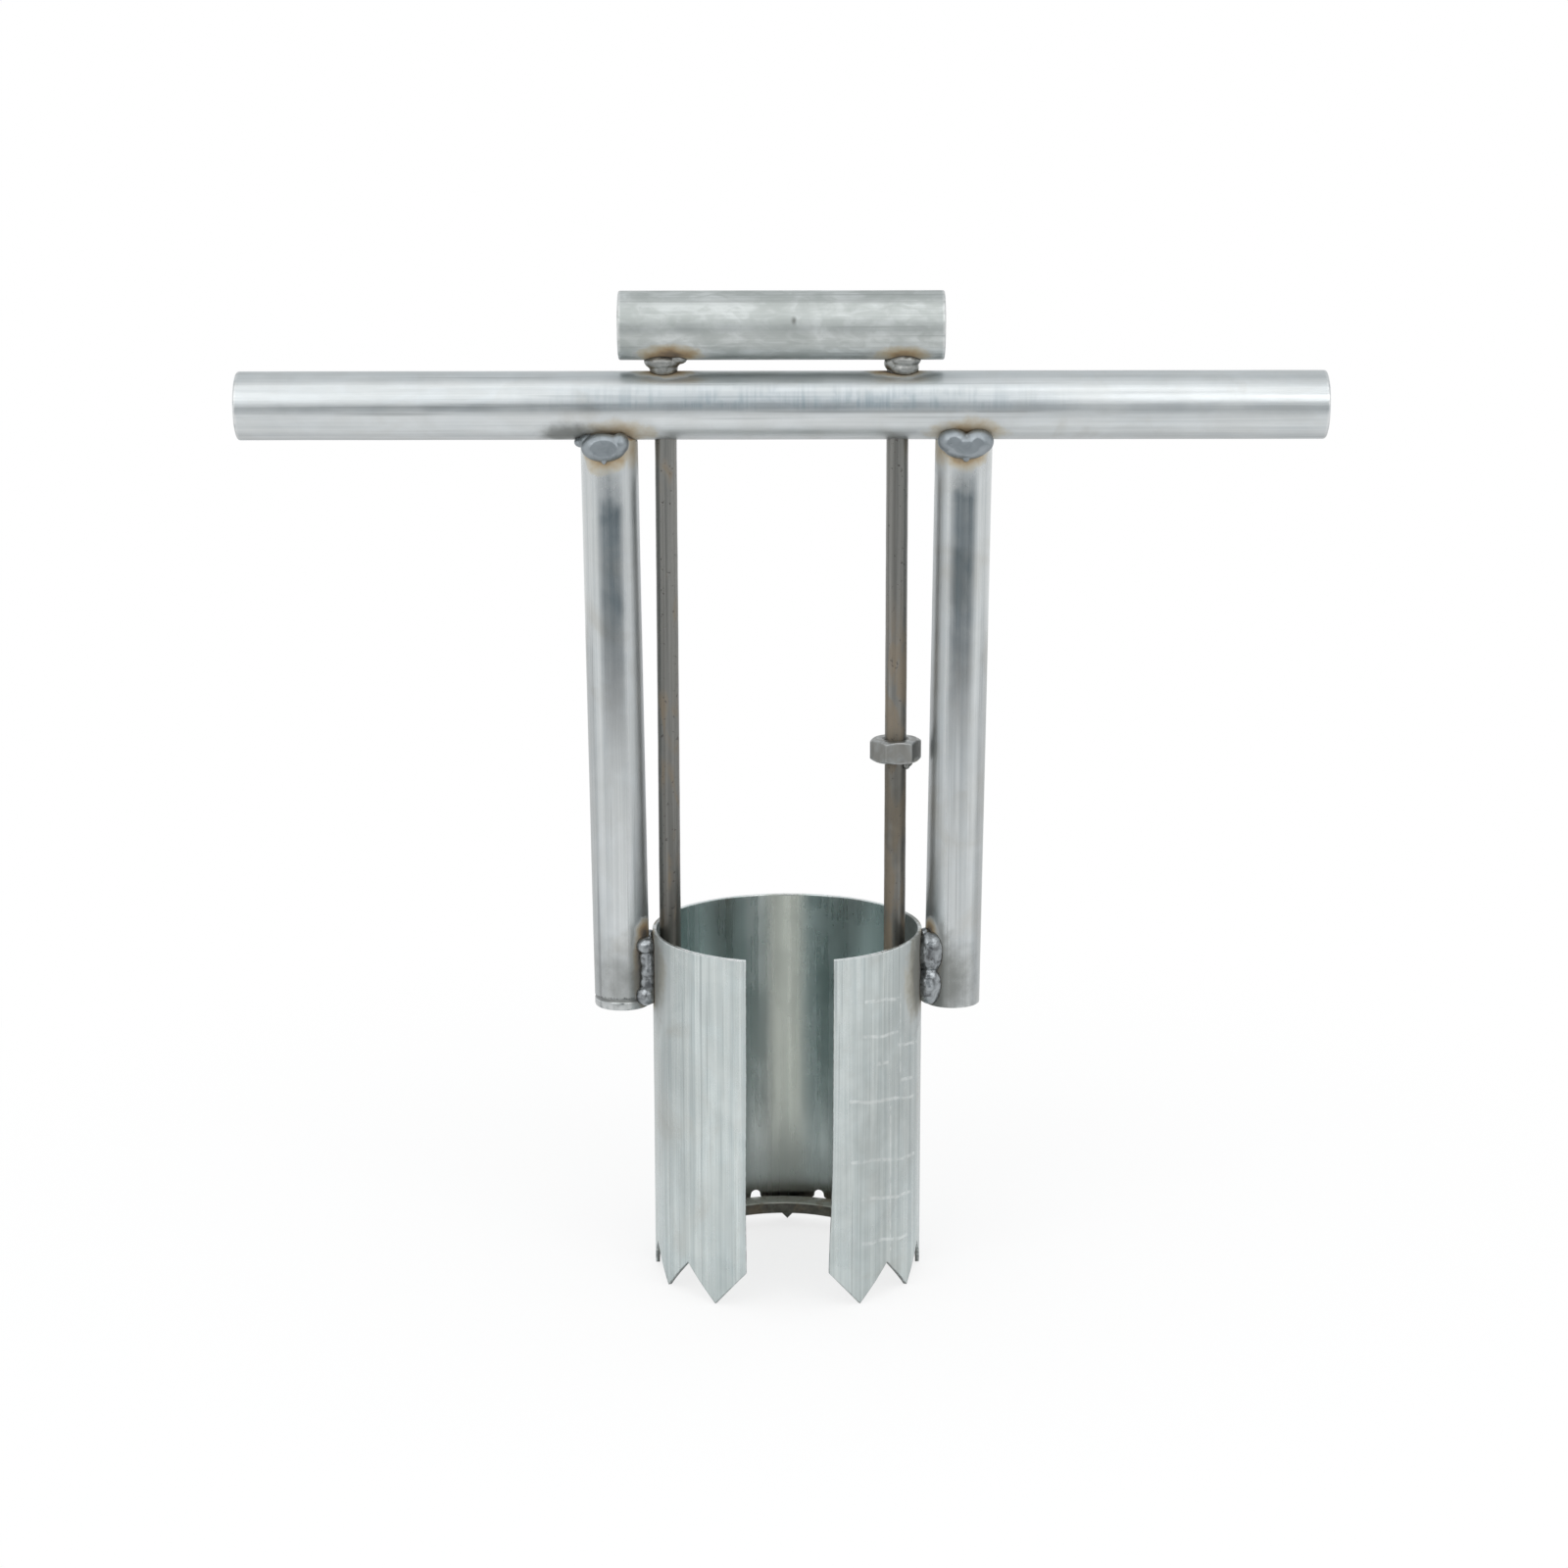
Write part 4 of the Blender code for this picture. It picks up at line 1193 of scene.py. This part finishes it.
faces += close_end(0) + close_end(rows - 1)
steel_piece(
    "cylinder_wall", points, faces, cylinder_zinc, "frame", "cutting_cylinder", wear
)

# %% [markdown]
# ## Bars
# The rods and the half ring are hot rolled bar, never galvanised. Mill scale leaves them a dark
# brown grey with pits, streaks and rust tints. The right rod has rusted more than the left.

# %% Bar finish
BAR_SHADES = ((0.135, 0.135, 0.125), (0.285, 0.285, 0.27))
RING_SHADES = ((0.10, 0.10, 0.08), (0.20, 0.20, 0.165))
PAINTED_TOP_LIGHT = (0.50, 0.50, 0.44)
DARK_PIT = (0.07, 0.065, 0.06)


def black_bar(name, rust_cover, grain, spot, clean_above=1.0, painted_light_top=None, shades=BAR_SHADES):
    material, position, wear = start_material(name)
    height = position.axis("Z")
    lines = use_group(drawn_lines, Position=position, Grain=grain, Fineness=900.0)
    stretched = position.arrow("MULTIPLY", [0.3 + 0.7 * share for share in grain])
    rust = use_group(smudges, Position=stretched, Scale=150.0, Cover=rust_cover, Softness=0.1)
    rust = rust * height.fade(clean_above + 30 * MM, clean_above - 10 * MM)
    pocks = use_group(pits, Position=position, Scale=700.0, Amount=0.55)
    toned = (lines["Fine"] * 0.45 + lines["Broad"] * 0.5).clamped()
    # Painted shade: below the rim the bar is darker, because it stands in shade inside the cylinder.
    painted_shade_in_cylinder = height.fade(165 * MM, 125 * MM)
    colour = toned.between(*shades).tinted(painted_shade_in_cylinder * 0.5, (0.08, 0.07, 0.055))
    metal = 0.95 - rust * 0.45
    # Painted light: the top face is made lighter and less metallic, as light falling on it from above.
    if painted_light_top is not None:
        top = height.fade(painted_light_top - 0.5 * MM, painted_light_top - 0.1 * MM)
        colour = colour.tinted(top * 0.85, PAINTED_TOP_LIGHT)
        metal = (metal - top * 0.5).clamped()
    scorched = most_heat(position, [spot]).fade(0.0, 0.5) * 0.55
    bright = use_group(rubbed_edges, Position=position, Wear=wear, Amount=0.2)
    colour = colour.layered(
        (rust * 0.7, (0.20, 0.155, 0.10)), (pocks * 0.7, DARK_PIT),
        (scorched, (0.075, 0.07, 0.055)), (bright, (0.36, 0.36, 0.34)),
    )
    rough = (0.42 + rust * 0.2 + lines["Broad"] * -0.06).clamped()
    relief = lines["Fine"] - pocks * 2.5
    coat = {"Coat Weight": 0.3, "Coat Roughness": 0.35}
    return finish_surface(material, colour, rough, metal, relief, 0.03 * MM, coat)


rod_scales = {
    -1: black_bar(
        "left_rod_scale", 0.3, ALONG_Z, (Vector((rod_x[-1], 0, 346 * MM)), at(8, 8, 12), 0.8)
    ),
    1: black_bar(
        "right_rod_scale", 0.6, ALONG_Z, (Vector((rod_x[1], 0, 182 * MM)), at(9, 9, 40), 0.85),
        clean_above=240 * MM,
    ),
}
ring_scale = black_bar(
    "ring_scale", 0.45, (1, 1, 1), (Vector((rod_x[-1], 0, ring_high.z)), at(9, 9, 3), 0.6),
    painted_light_top=ring_high.z, shades=RING_SHADES,
)

# %% [markdown]
# Each rod is one outline turned about its axis, closed on the axis at both ends. Drawn bar is not
# perfectly round, so a very small unevenness is added, which makes its highlights waver.

# %% Rods
rod_steps = 72
rod_rows = 84
rod_edge = 0.4 * MM
rod_foot = ring_high.z - 0.05 * MM
rod_head = grip_low.z + 0.9 * MM
rod_end = rod_radius - rod_edge
same_place = 0.001 * MM
rod_outline = [(0.0, rod_foot, 0), (rod_end, rod_foot, 1), (rod_radius, rod_foot + rod_edge, 1)]
rod_outline += [
    (rod_radius, rod_foot + rod_edge + (rod_head - rod_foot - 2 * rod_edge) * row / rod_rows, 0)
    for row in range(1, rod_rows)
]
rod_outline += [(rod_radius, rod_head - rod_edge, 1), (rod_end, rod_head, 1), (0.0, rod_head, 0)]
rod_faces = ring_faces(rod_steps, len(rod_outline), closed_rows=False)


def bulge_at(place):
    return waver(place, 9 * MM, 0.05 * MM) + waver(place, 2.5 * MM, 0.02 * MM)


for side, hand in HANDS:
    points = []
    for step in range(rod_steps):
        angle = 2 * math.pi * step / rod_steps
        for distance, height, worn in rod_outline:
            place = around(rod_x[side], distance, angle, height)
            reach = distance + (bulge_at(place) if distance > 0 else 0.0)
            points.append(around(rod_x[side], reach, angle, height))
    rod = steel_piece(
        f"{hand}_rod_bar", points, rod_faces, rod_scales[side], "ejector", f"{hand}_rod",
        [worn for distance, height, worn in rod_outline] * rod_steps,
    )
    bm = bmesh.new()
    bm.from_mesh(rod.data)
    bmesh.ops.remove_doubles(bm, verts=bm.verts, dist=same_place)
    bm.to_mesh(rod.data)
    bm.free()

# %% [markdown]
# The half ring pushes the soil core out. It is flat bar bent on edge, open towards the slot so
# that it clears the plant's stem. Its section has rounded corners and is carried round the bend.

# %% Half ring
ring_width = 8.5 * MM
ring_corner = 0.6 * MM
ring_steps = 150
ring_overrun = math.asin(8.0 * MM / ring_radius)
corner_steps = 4


def flat_bar_section():
    """Points of a rounded rectangle, as radius from the axis, height and wear."""
    inner, outer = ring_radius - ring_width + ring_corner, ring_radius - ring_corner
    low, high = ring_low.z + ring_corner, ring_high.z - ring_corner
    section = []
    for quarter, (radius, height) in enumerate(
        ((outer, high), (inner, high), (inner, low), (outer, low))
    ):
        for part in range(corner_steps + 1):
            turn = quarter * math.pi / 2 + part * math.pi / 8
            worn = 0.5 if part in (0, corner_steps) else 1.0
            across, up = ring_corner * math.cos(turn), ring_corner * math.sin(turn)
            section.append((radius + across, height + up, worn))
        if quarter in (0, 2):
            way = quarter - 1
            for share in (0.25, 0.5, 0.75):
                flat = radius + way * (ring_width - 2 * ring_corner) * share
                section.append((flat, height - way * ring_corner, 0.0))
    return section


ring_section = flat_bar_section()
section_mid = Vector((ring_radius - ring_width / 2, (ring_high.z + ring_low.z) / 2))
ring_turn = math.pi + 2 * ring_overrun
ring_ends = [
    (inset * ring_corner / ring_radius, shrink)
    for inset, shrink in ((0.0, 0.75), (0.35, 0.3), (1.0, 0.0))
]
ring_stations = ring_ends + [(ring_turn * step / ring_steps, 0.0) for step in range(2, ring_steps - 1)]
ring_stations += [(ring_turn - turn, shrink) for turn, shrink in reversed(ring_ends)]
points = []
wear = []
for turn, shrink in ring_stations:
    for radius, height, worn in ring_section:
        pull = Vector((radius, height)) - section_mid
        radius -= math.copysign(shrink * ring_corner, pull.x)
        height -= math.copysign(shrink * ring_corner, pull.y)
        spot = around(ring_mid.x, radius, turn - ring_overrun, height)
        spot.z += waver(spot, 14 * MM, 0.08 * MM)
        points.append(spot)
        wear.append(max(worn, 0.8 if shrink > 0 else 0.0))
rows = len(ring_section)
faces = ring_faces(len(ring_stations), rows, closed_columns=False)
faces.append(tuple(range(rows)))
faces.append(tuple(range(len(points) - rows, len(points))))
steel_piece(
    "half_ring_bar", points, faces, ring_scale, "ejector", "ejector_ring", wear
)

# %% [markdown]
# ## Stop nut
# A hexagon nut on the right rod meets the handle's underside and stops the ejector. A nut is a
# hexagon where its corners were turned off by a cone, so the height of each side's edge follows
# from how far that point is from the axis. Built as a turned grid, this gives the curved chamfer
# lines of a real nut without a boolean. The bore has a thread, which the plain bar doesn't fill.

# %% Nut finish
def plated_nut(name, spot):
    material, position, wear = start_material(name)
    lines = use_group(drawn_lines, Position=position, Grain=(1, 1, 0.15), Fineness=1100.0)
    dirt = use_group(smudges, Position=position, Scale=160.0, Cover=0.6)
    colour = lines["Broad"].between((0.23, 0.245, 0.245), (0.36, 0.375, 0.37))
    colour = colour.tinted(dirt * 0.5, (0.2, 0.185, 0.16))
    burnt = use_group(heat_colours, Bare=colour, Heat=most_heat(position, [spot]))
    bright = use_group(rubbed_edges, Position=position, Wear=wear, Amount=0.6)
    colour = burnt["Colour"].tinted(bright, (0.55, 0.56, 0.56))
    rough = (0.3 + dirt * 0.16).clamped()
    metal = 1.0 - burnt["Dulling"] * 0.3
    return finish_surface(material, colour, rough, metal, lines["Fine"], 0.012 * MM)


tack_place = Vector((rod_x[1] + 4.0 * MM, -1.6 * MM, nut_low.z - 0.3 * MM))
nut_plating = plated_nut("nut_plating", (tack_place, at(6, 6, 4), 0.8))

# %% Stop nut
nut_flats = 17.0 * MM
nut_turn = math.radians(7.0)
nut_face_radius = 0.95 * nut_flats / 2
nut_chamfer = math.tan(math.radians(30))
nut_round = 0.35 * MM
nut_steps = 144
nut_edge = 0.15 * MM
nut_corner_from = 1.13 * nut_flats / 2
nut_middle = (nut_low.z + nut_high.z) / 2
nut_half = (nut_high.z - nut_low.z) / 2
thread_pitch = 1.25 * MM
thread_crest = rod_radius + 0.3 * MM
thread_root = rod_radius + 0.75 * MM
thread_rows = 40
thread_span = nut_half - 0.6 * MM


def hexagon_reach(angle):
    """Distance from the axis to the hexagon's side, with its six corners slightly rounded."""
    from_side = angle % (math.pi / 3) - math.pi / 6
    reach = nut_flats / 2 / math.cos(from_side)
    corner = nut_flats / 2 / math.cos(math.pi / 6) - nut_round
    excess = reach - corner
    return corner + excess * 0.5 if excess > 0 else reach


def nut_column(angle):
    """Points down the outside and up the thread, as radius, height and wear."""
    reach = hexagon_reach(angle)
    side_top = nut_half - (reach - nut_face_radius) * nut_chamfer
    upper = [
        (thread_root, thread_span, 0.0), (thread_root + 0.35 * MM, nut_half, 0.6),
        (nut_face_radius - 0.4 * MM, nut_half, 0.0), (nut_face_radius, nut_half - 0.02 * MM, 0.8),
        (reach - nut_edge, side_top + nut_edge * nut_chamfer, 0.9),
        (reach, side_top - nut_edge, 0.9), (reach, side_top - 4 * nut_edge, 0.0),
    ]
    lower = [(radius, -height, worn) for radius, height, worn in reversed(upper)]
    bore = []
    for row in range(1, thread_rows):
        height = -thread_span + 2 * thread_span * row / thread_rows
        phase = (height / thread_pitch - angle / (2 * math.pi)) % 1.0
        depth = abs(2 * phase - 1)
        bore.append((thread_crest + (thread_root - thread_crest) * depth, height, 0.0))
    return [(radius, nut_middle + height, worn) for radius, height, worn in upper + lower + bore]


points = []
wear = []
for step in range(nut_steps):
    angle = 2 * math.pi * step / nut_steps
    column = nut_column(angle)
    corner_wear = 0.35 if hexagon_reach(angle) > nut_corner_from else 0.0
    for radius, height, worn in column:
        points.append(around(rod_x[1], radius, angle + nut_turn, height))
        wear.append(max(worn, corner_wear if radius > nut_face_radius else 0.0))
steel_piece(
    "nut_hexagon", points, ring_faces(nut_steps, len(column)), nut_plating, "ejector", "stop_nut",
    wear, sharp=28.0,
)

# %% [markdown]
# ## Welds
# A weld is metal that ran and froze: drops that flowed into each other, thick in the middle and
# thin at the toe. Sweeping a tube along the seam gives a sausage. Fusing a few drops with a voxel
# remesh and letting a smoothing modifier pull them together gives the real swell and necks. What
# would lie inside the tubes is cut away, so each bead is one closed skin that hugs what it joins.

# %% Weld finish
def weld_metal(name, bare, dark, roughness, pit_amount=0.4, cover=0.7, grain=240.0):
    material, position, wear = start_material(name)
    patches = use_group(smudges, Position=position, Scale=grain, Cover=cover, Softness=0.2)
    specks = use_group(pits, Position=position, Scale=1100.0, Amount=pit_amount)
    toe = wear.fade(0.25, 0.95)
    colour = patches.between(dark, bare)
    # Near the toe the colour darkens: partly the oxide at a weld's toe, partly painted shade in the
    # crease where the bead meets the steel.
    colour = colour.layered((specks * 0.8, DARK_PIT), (toe * 0.9, (0.065, 0.055, 0.04)))
    rough = (roughness + toe * 0.3 + patches * -0.05).clamped()
    ripples = position.cloud(900.0, detail=3.0)
    return finish_surface(material, colour, rough, 1.0 - toe * 0.5, ripples - specks, 0.03 * MM)


glassy_weld = weld_metal("glassy_weld", (0.33, 0.365, 0.39), (0.25, 0.28, 0.30), 0.47, 0.2)
grey_weld = weld_metal("grey_weld", (0.35, 0.375, 0.39), (0.10, 0.105, 0.11), 0.33, 0.5, 0.62, 270.0)
sooty_weld = weld_metal("sooty_weld", (0.36, 0.37, 0.36), (0.15, 0.15, 0.14), 0.47, 0.5)
dark_weld = weld_metal("dark_weld", (0.24, 0.245, 0.235), (0.17, 0.17, 0.16), 0.42)

# %% Helpers for welds
touch = 0.15 * MM
weld_voxel = 0.22 * MM
toe_width = 0.75 * MM
pressed_share = 0.2
cutter_steps = 160


def carrier(start, end, radius, top=1.0):
    """A round piece that a bead joins, with the height above which it isn't there to be met."""
    return Vector(start), Vector(end), radius, top


def reach_from(point, line):
    """How far a point stands from a round piece's surface."""
    start, end, radius, top = line
    axis = (end - start).normalized()
    offset = point - start
    return (offset - axis * offset.dot(axis)).length - radius


def drops_at(rows, shift=0.0):
    """Drops from rows of a centre and half sizes in mm, with the centres moved along X."""
    return [(at(shift + x, y, z), at(*sizes)) for x, y, z, *sizes in rows]


def weld_bead(name, drops, carriers, material, body, node, flow=6, rough=0.12 * MM, face=None):
    """Fuses drops where the carriers meet, and presses back what stands in front of a face."""
    bm = bmesh.new()
    for centre, sizes in drops:
        shape = Matrix.Translation(centre) @ Matrix.Diagonal((*sizes, 1))
        bmesh.ops.create_icosphere(bm, subdivisions=4, radius=1.0, matrix=shape)
    bead = built_object(name, bm)
    fuse = bead.modifiers.new("fuse", "REMESH")
    fuse.mode = "VOXEL"
    fuse.voxel_size = weld_voxel
    pull = bead.modifiers.new("flow", "SMOOTH")
    pull.factor = 0.6
    pull.iterations = flow
    settle(bead)
    seed = Vector((len(name) * 3.1, len(node) * 1.7, 0))
    normals = [vertex.normal.copy() for vertex in bead.data.vertices]
    for vertex, normal in zip(bead.data.vertices, normals):
        lump = waver(vertex.co + seed, 2.6 * MM, rough) + waver(vertex.co, 0.9 * MM, rough * 0.35)
        vertex.co += normal * lump
        if face is not None and vertex.co.y < face:
            vertex.co.y = face + (vertex.co.y - face) * pressed_share
    cut_away(bead, [
        round_cutter(start, end, radius - touch, cutter_steps) for start, end, radius, top in carriers
    ])
    toe = []
    for vertex in bead.data.vertices:
        nearest = min(abs(reach_from(vertex.co, line)) for line in carriers if vertex.co.z < line[3])
        toe.append(max(0.0, 1.0 - nearest / toe_width))
    return dress(bead, material, body, node, toe, 50.0)


# %% Round pieces that the welds join
def level_line(low, high, radius):
    middle = (low.z + high.z) / 2
    return carrier((low.x, 0, middle), (high.x, 0, middle), radius)


handle_line = level_line(handle_low, handle_high, handle_radius)
grip_line = level_line(grip_low, grip_high, grip_radius)
cylinder_line = carrier((0, 0, cylinder_low.z), (0, 0, rim + 5 * MM), cylinder_radius)
below_foot = leg_foot - 3 * MM
leg_lines = {}
rod_lines = {}
for side, hand in HANDS:
    leg_lines[side] = carrier(
        (leg_x(side, below_foot), 0, below_foot), (leg_x(side, handle_axis), 0, handle_axis),
        leg_radius, top=320 * MM,
    )
    rod_lines[side] = carrier(
        (rod_x[side], 0, rod_foot), (rod_x[side], 0, rod_head + 9 * MM), rod_radius
    )

# %% [markdown]
# The bead under the handle at each leg is one melted lens, so smooth that it mirrors the dim side
# of the room in its middle and the lamps at its rim. The left one is a flattened oval that sits
# left of centre, with a spur beside it and a drip below. The right one is wider, with a notch.

# %% Leg top welds
LEFT_TOP = (
    (-66.2, -9.3, 315.9, 8.3, 4.6, 5.3), (-71.9, -7.0, 317.9, 3.4, 3.6, 2.9),
    (-74.6, -4.8, 317.4, 2.6, 3.0, 2.0), (-66.1, -10.8, 310.9, 0.9, 0.8, 1.1),
    (-60.6, -8.9, 317.3, 3.6, 3.9, 4.0),
)
RIGHT_TOP = (
    (60.6, -8.9, 318.0, 5.9, 4.6, 4.7), (69.2, -8.7, 317.8, 5.9, 4.6, 4.8),
    (65.0, -9.4, 315.9, 8.4, 4.3, 4.5), (65.0, -10.9, 311.6, 1.2, 0.9, 0.9),
)
BACK_TOP = (
    (-5.4, 8.4, 318.2, 4.4, 4.2, 3.9), (0.0, 9.6, 317.2, 4.6, 4.0, 4.4),
    (5.2, 8.4, 318.3, 4.2, 4.2, 3.8),
)
for side, hand, rows, flow, rough in (
    (-1, "left", LEFT_TOP, 10, 0.05 * MM), (1, "right", RIGHT_TOP, 9, 0.06 * MM)
):
    weld_bead(
        f"{hand}_top_bead_front", drops_at(rows), [handle_line, leg_lines[side]], glassy_weld, "frame",
        f"{hand}_leg_top_weld_front", flow=flow, rough=rough, face=-13.0 * MM,
    )
for side, hand in HANDS:
    weld_bead(
        f"{hand}_top_bead_back", drops_at(BACK_TOP, leg_x(side, weld_height) / MM),
        [handle_line, leg_lines[side]], glassy_weld, "frame", f"{hand}_leg_top_weld_back", flow=4,
    )

# %% [markdown]
# The feet of the legs are joined to the cylinder by upright beads in the groove between them. The
# left one has a knob at each end and a thin middle, and the right one is two stacked lumps.

# %% Leg foot welds
LEFT_FOOT = (
    (-52.7, -7.2, 128.6, 4.2, 3.7, 3.4), (-52.0, -6.9, 123.4, 3.9, 3.4, 4.8),
    (-51.9, -6.8, 118.6, 3.8, 3.4, 4.8), (-52.0, -6.9, 113.8, 3.9, 3.4, 4.6),
    (-52.9, -7.1, 109.4, 4.4, 3.8, 4.0),
)
RIGHT_FOOT = (
    (53.6, -7.4, 126.0, 5.6, 4.2, 7.9), (53.4, -7.2, 113.2, 5.3, 4.2, 7.5),
    (51.7, -5.4, 133.0, 1.8, 2.2, 1.9),
)
for side, hand, rows, flow in ((-1, "left", LEFT_FOOT, 6), (1, "right", RIGHT_FOOT, 3)):
    joins = [leg_lines[side], cylinder_line]
    weld_bead(
        f"{hand}_foot_bead_front", drops_at(rows), joins, grey_weld, "frame",
        f"{hand}_leg_foot_weld_front", flow=flow, rough=0.18 * MM,
    )
    back_drops = [
        (at(side * (52.2 + 0.3 * math.sin(step * 2.1)), 6.3, 108.8 + step * 3.3), at(3.0, 2.9, 2.6))
        for step in range(7)
    ]
    weld_bead(
        f"{hand}_foot_bead_back", back_drops, joins, grey_weld, "frame",
        f"{hand}_leg_foot_weld_back", flow=3, rough=0.2 * MM,
    )

# %% [markdown]
# The grip is joined to each rod by a collar of weld that wraps round the rod. When the ejector is
# down, these two lumps stand on the handle, so they stop just clear of it.

# %% Grip welds
LEFT_GRIP = (
    (-0.9, -1.2, 346.2, 6.7, 6.7, 3.4), (-0.5, -0.8, 343.8, 5.2, 6.0, 3.4),
    (4.4, -2.4, 347.4, 3.8, 4.2, 2.2),
)
RIGHT_GRIP = (
    (2.4, -1.2, 346.8, 5.9, 6.4, 3.4), (2.2, -1.0, 343.9, 5.5, 6.0, 3.6),
    (-1.5, -0.5, 345.6, 3.6, 4.6, 3.2),
)
resting = level_line(handle_low, handle_high, handle_radius + touch + 0.03 * MM)
for side, hand, rows in ((-1, "left", LEFT_GRIP), (1, "right", RIGHT_GRIP)):
    weld_bead(
        f"{hand}_grip_bead", drops_at(rows, rod_x[side] / MM), [grip_line, resting, rod_lines[side]],
        sooty_weld, "ejector", f"{hand}_grip_weld", flow=9, rough=0.14 * MM,
    )

# %% [markdown]
# Down inside the cylinder, each rod is welded to the half ring round its back and inner side. The
# nut is only tacked to its rod, with one small drop under its right side.

# %% Ring welds and nut tack
fillet_reach = 4.6 * MM
fillet_turns = [math.radians(50 + step * 17.5) for step in range(-4, 5)]
for side, hand in HANDS:
    fillet = []
    for angle in fillet_turns:
        x = rod_x[side] - side * fillet_reach * math.sin(angle)
        centre = Vector((x, fillet_reach * math.cos(angle), ring_high.z + 0.55 * MM))
        fillet.append((centre, at(1.5, 1.5, 1.55)))
    weld_bead(
        f"{hand}_ring_bead", fillet, [rod_lines[side]], grey_weld, "ejector", f"{hand}_ring_weld",
        flow=3, rough=0.15 * MM,
    )
tack_drops = [
    (Vector((rod_x[1] + 4.3 * MM, -1.2 * MM, nut_low.z - 0.4 * MM)), at(2.1, 2.1, 1.9)),
    (Vector((rod_x[1] + 4.0 * MM, -2.4 * MM, nut_low.z - 1.3 * MM)), at(1.3, 1.2, 1.6)),
]
weld_bead(
    "nut_tack_bead", tack_drops, [rod_lines[1]], dark_weld, "ejector", "stop_nut_tack", flow=3,
    rough=0.15 * MM,
)

# %% [markdown]
# ## Size and finish
# The dressed tool's box is set beside the CAD model's box, and how far each corner differs is
# printed. The dressed tool has to stay inside the CAD model's box.

# %% Write both boxes and finish
visual_box = [list(corner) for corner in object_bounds()]
for low_or_high, cad, visual in zip(("low", "high"), cad_box, visual_box):
    print(low_or_high, "differs by", [round((b - a) / MM, 3) for a, b in zip(cad, visual)], "mm")
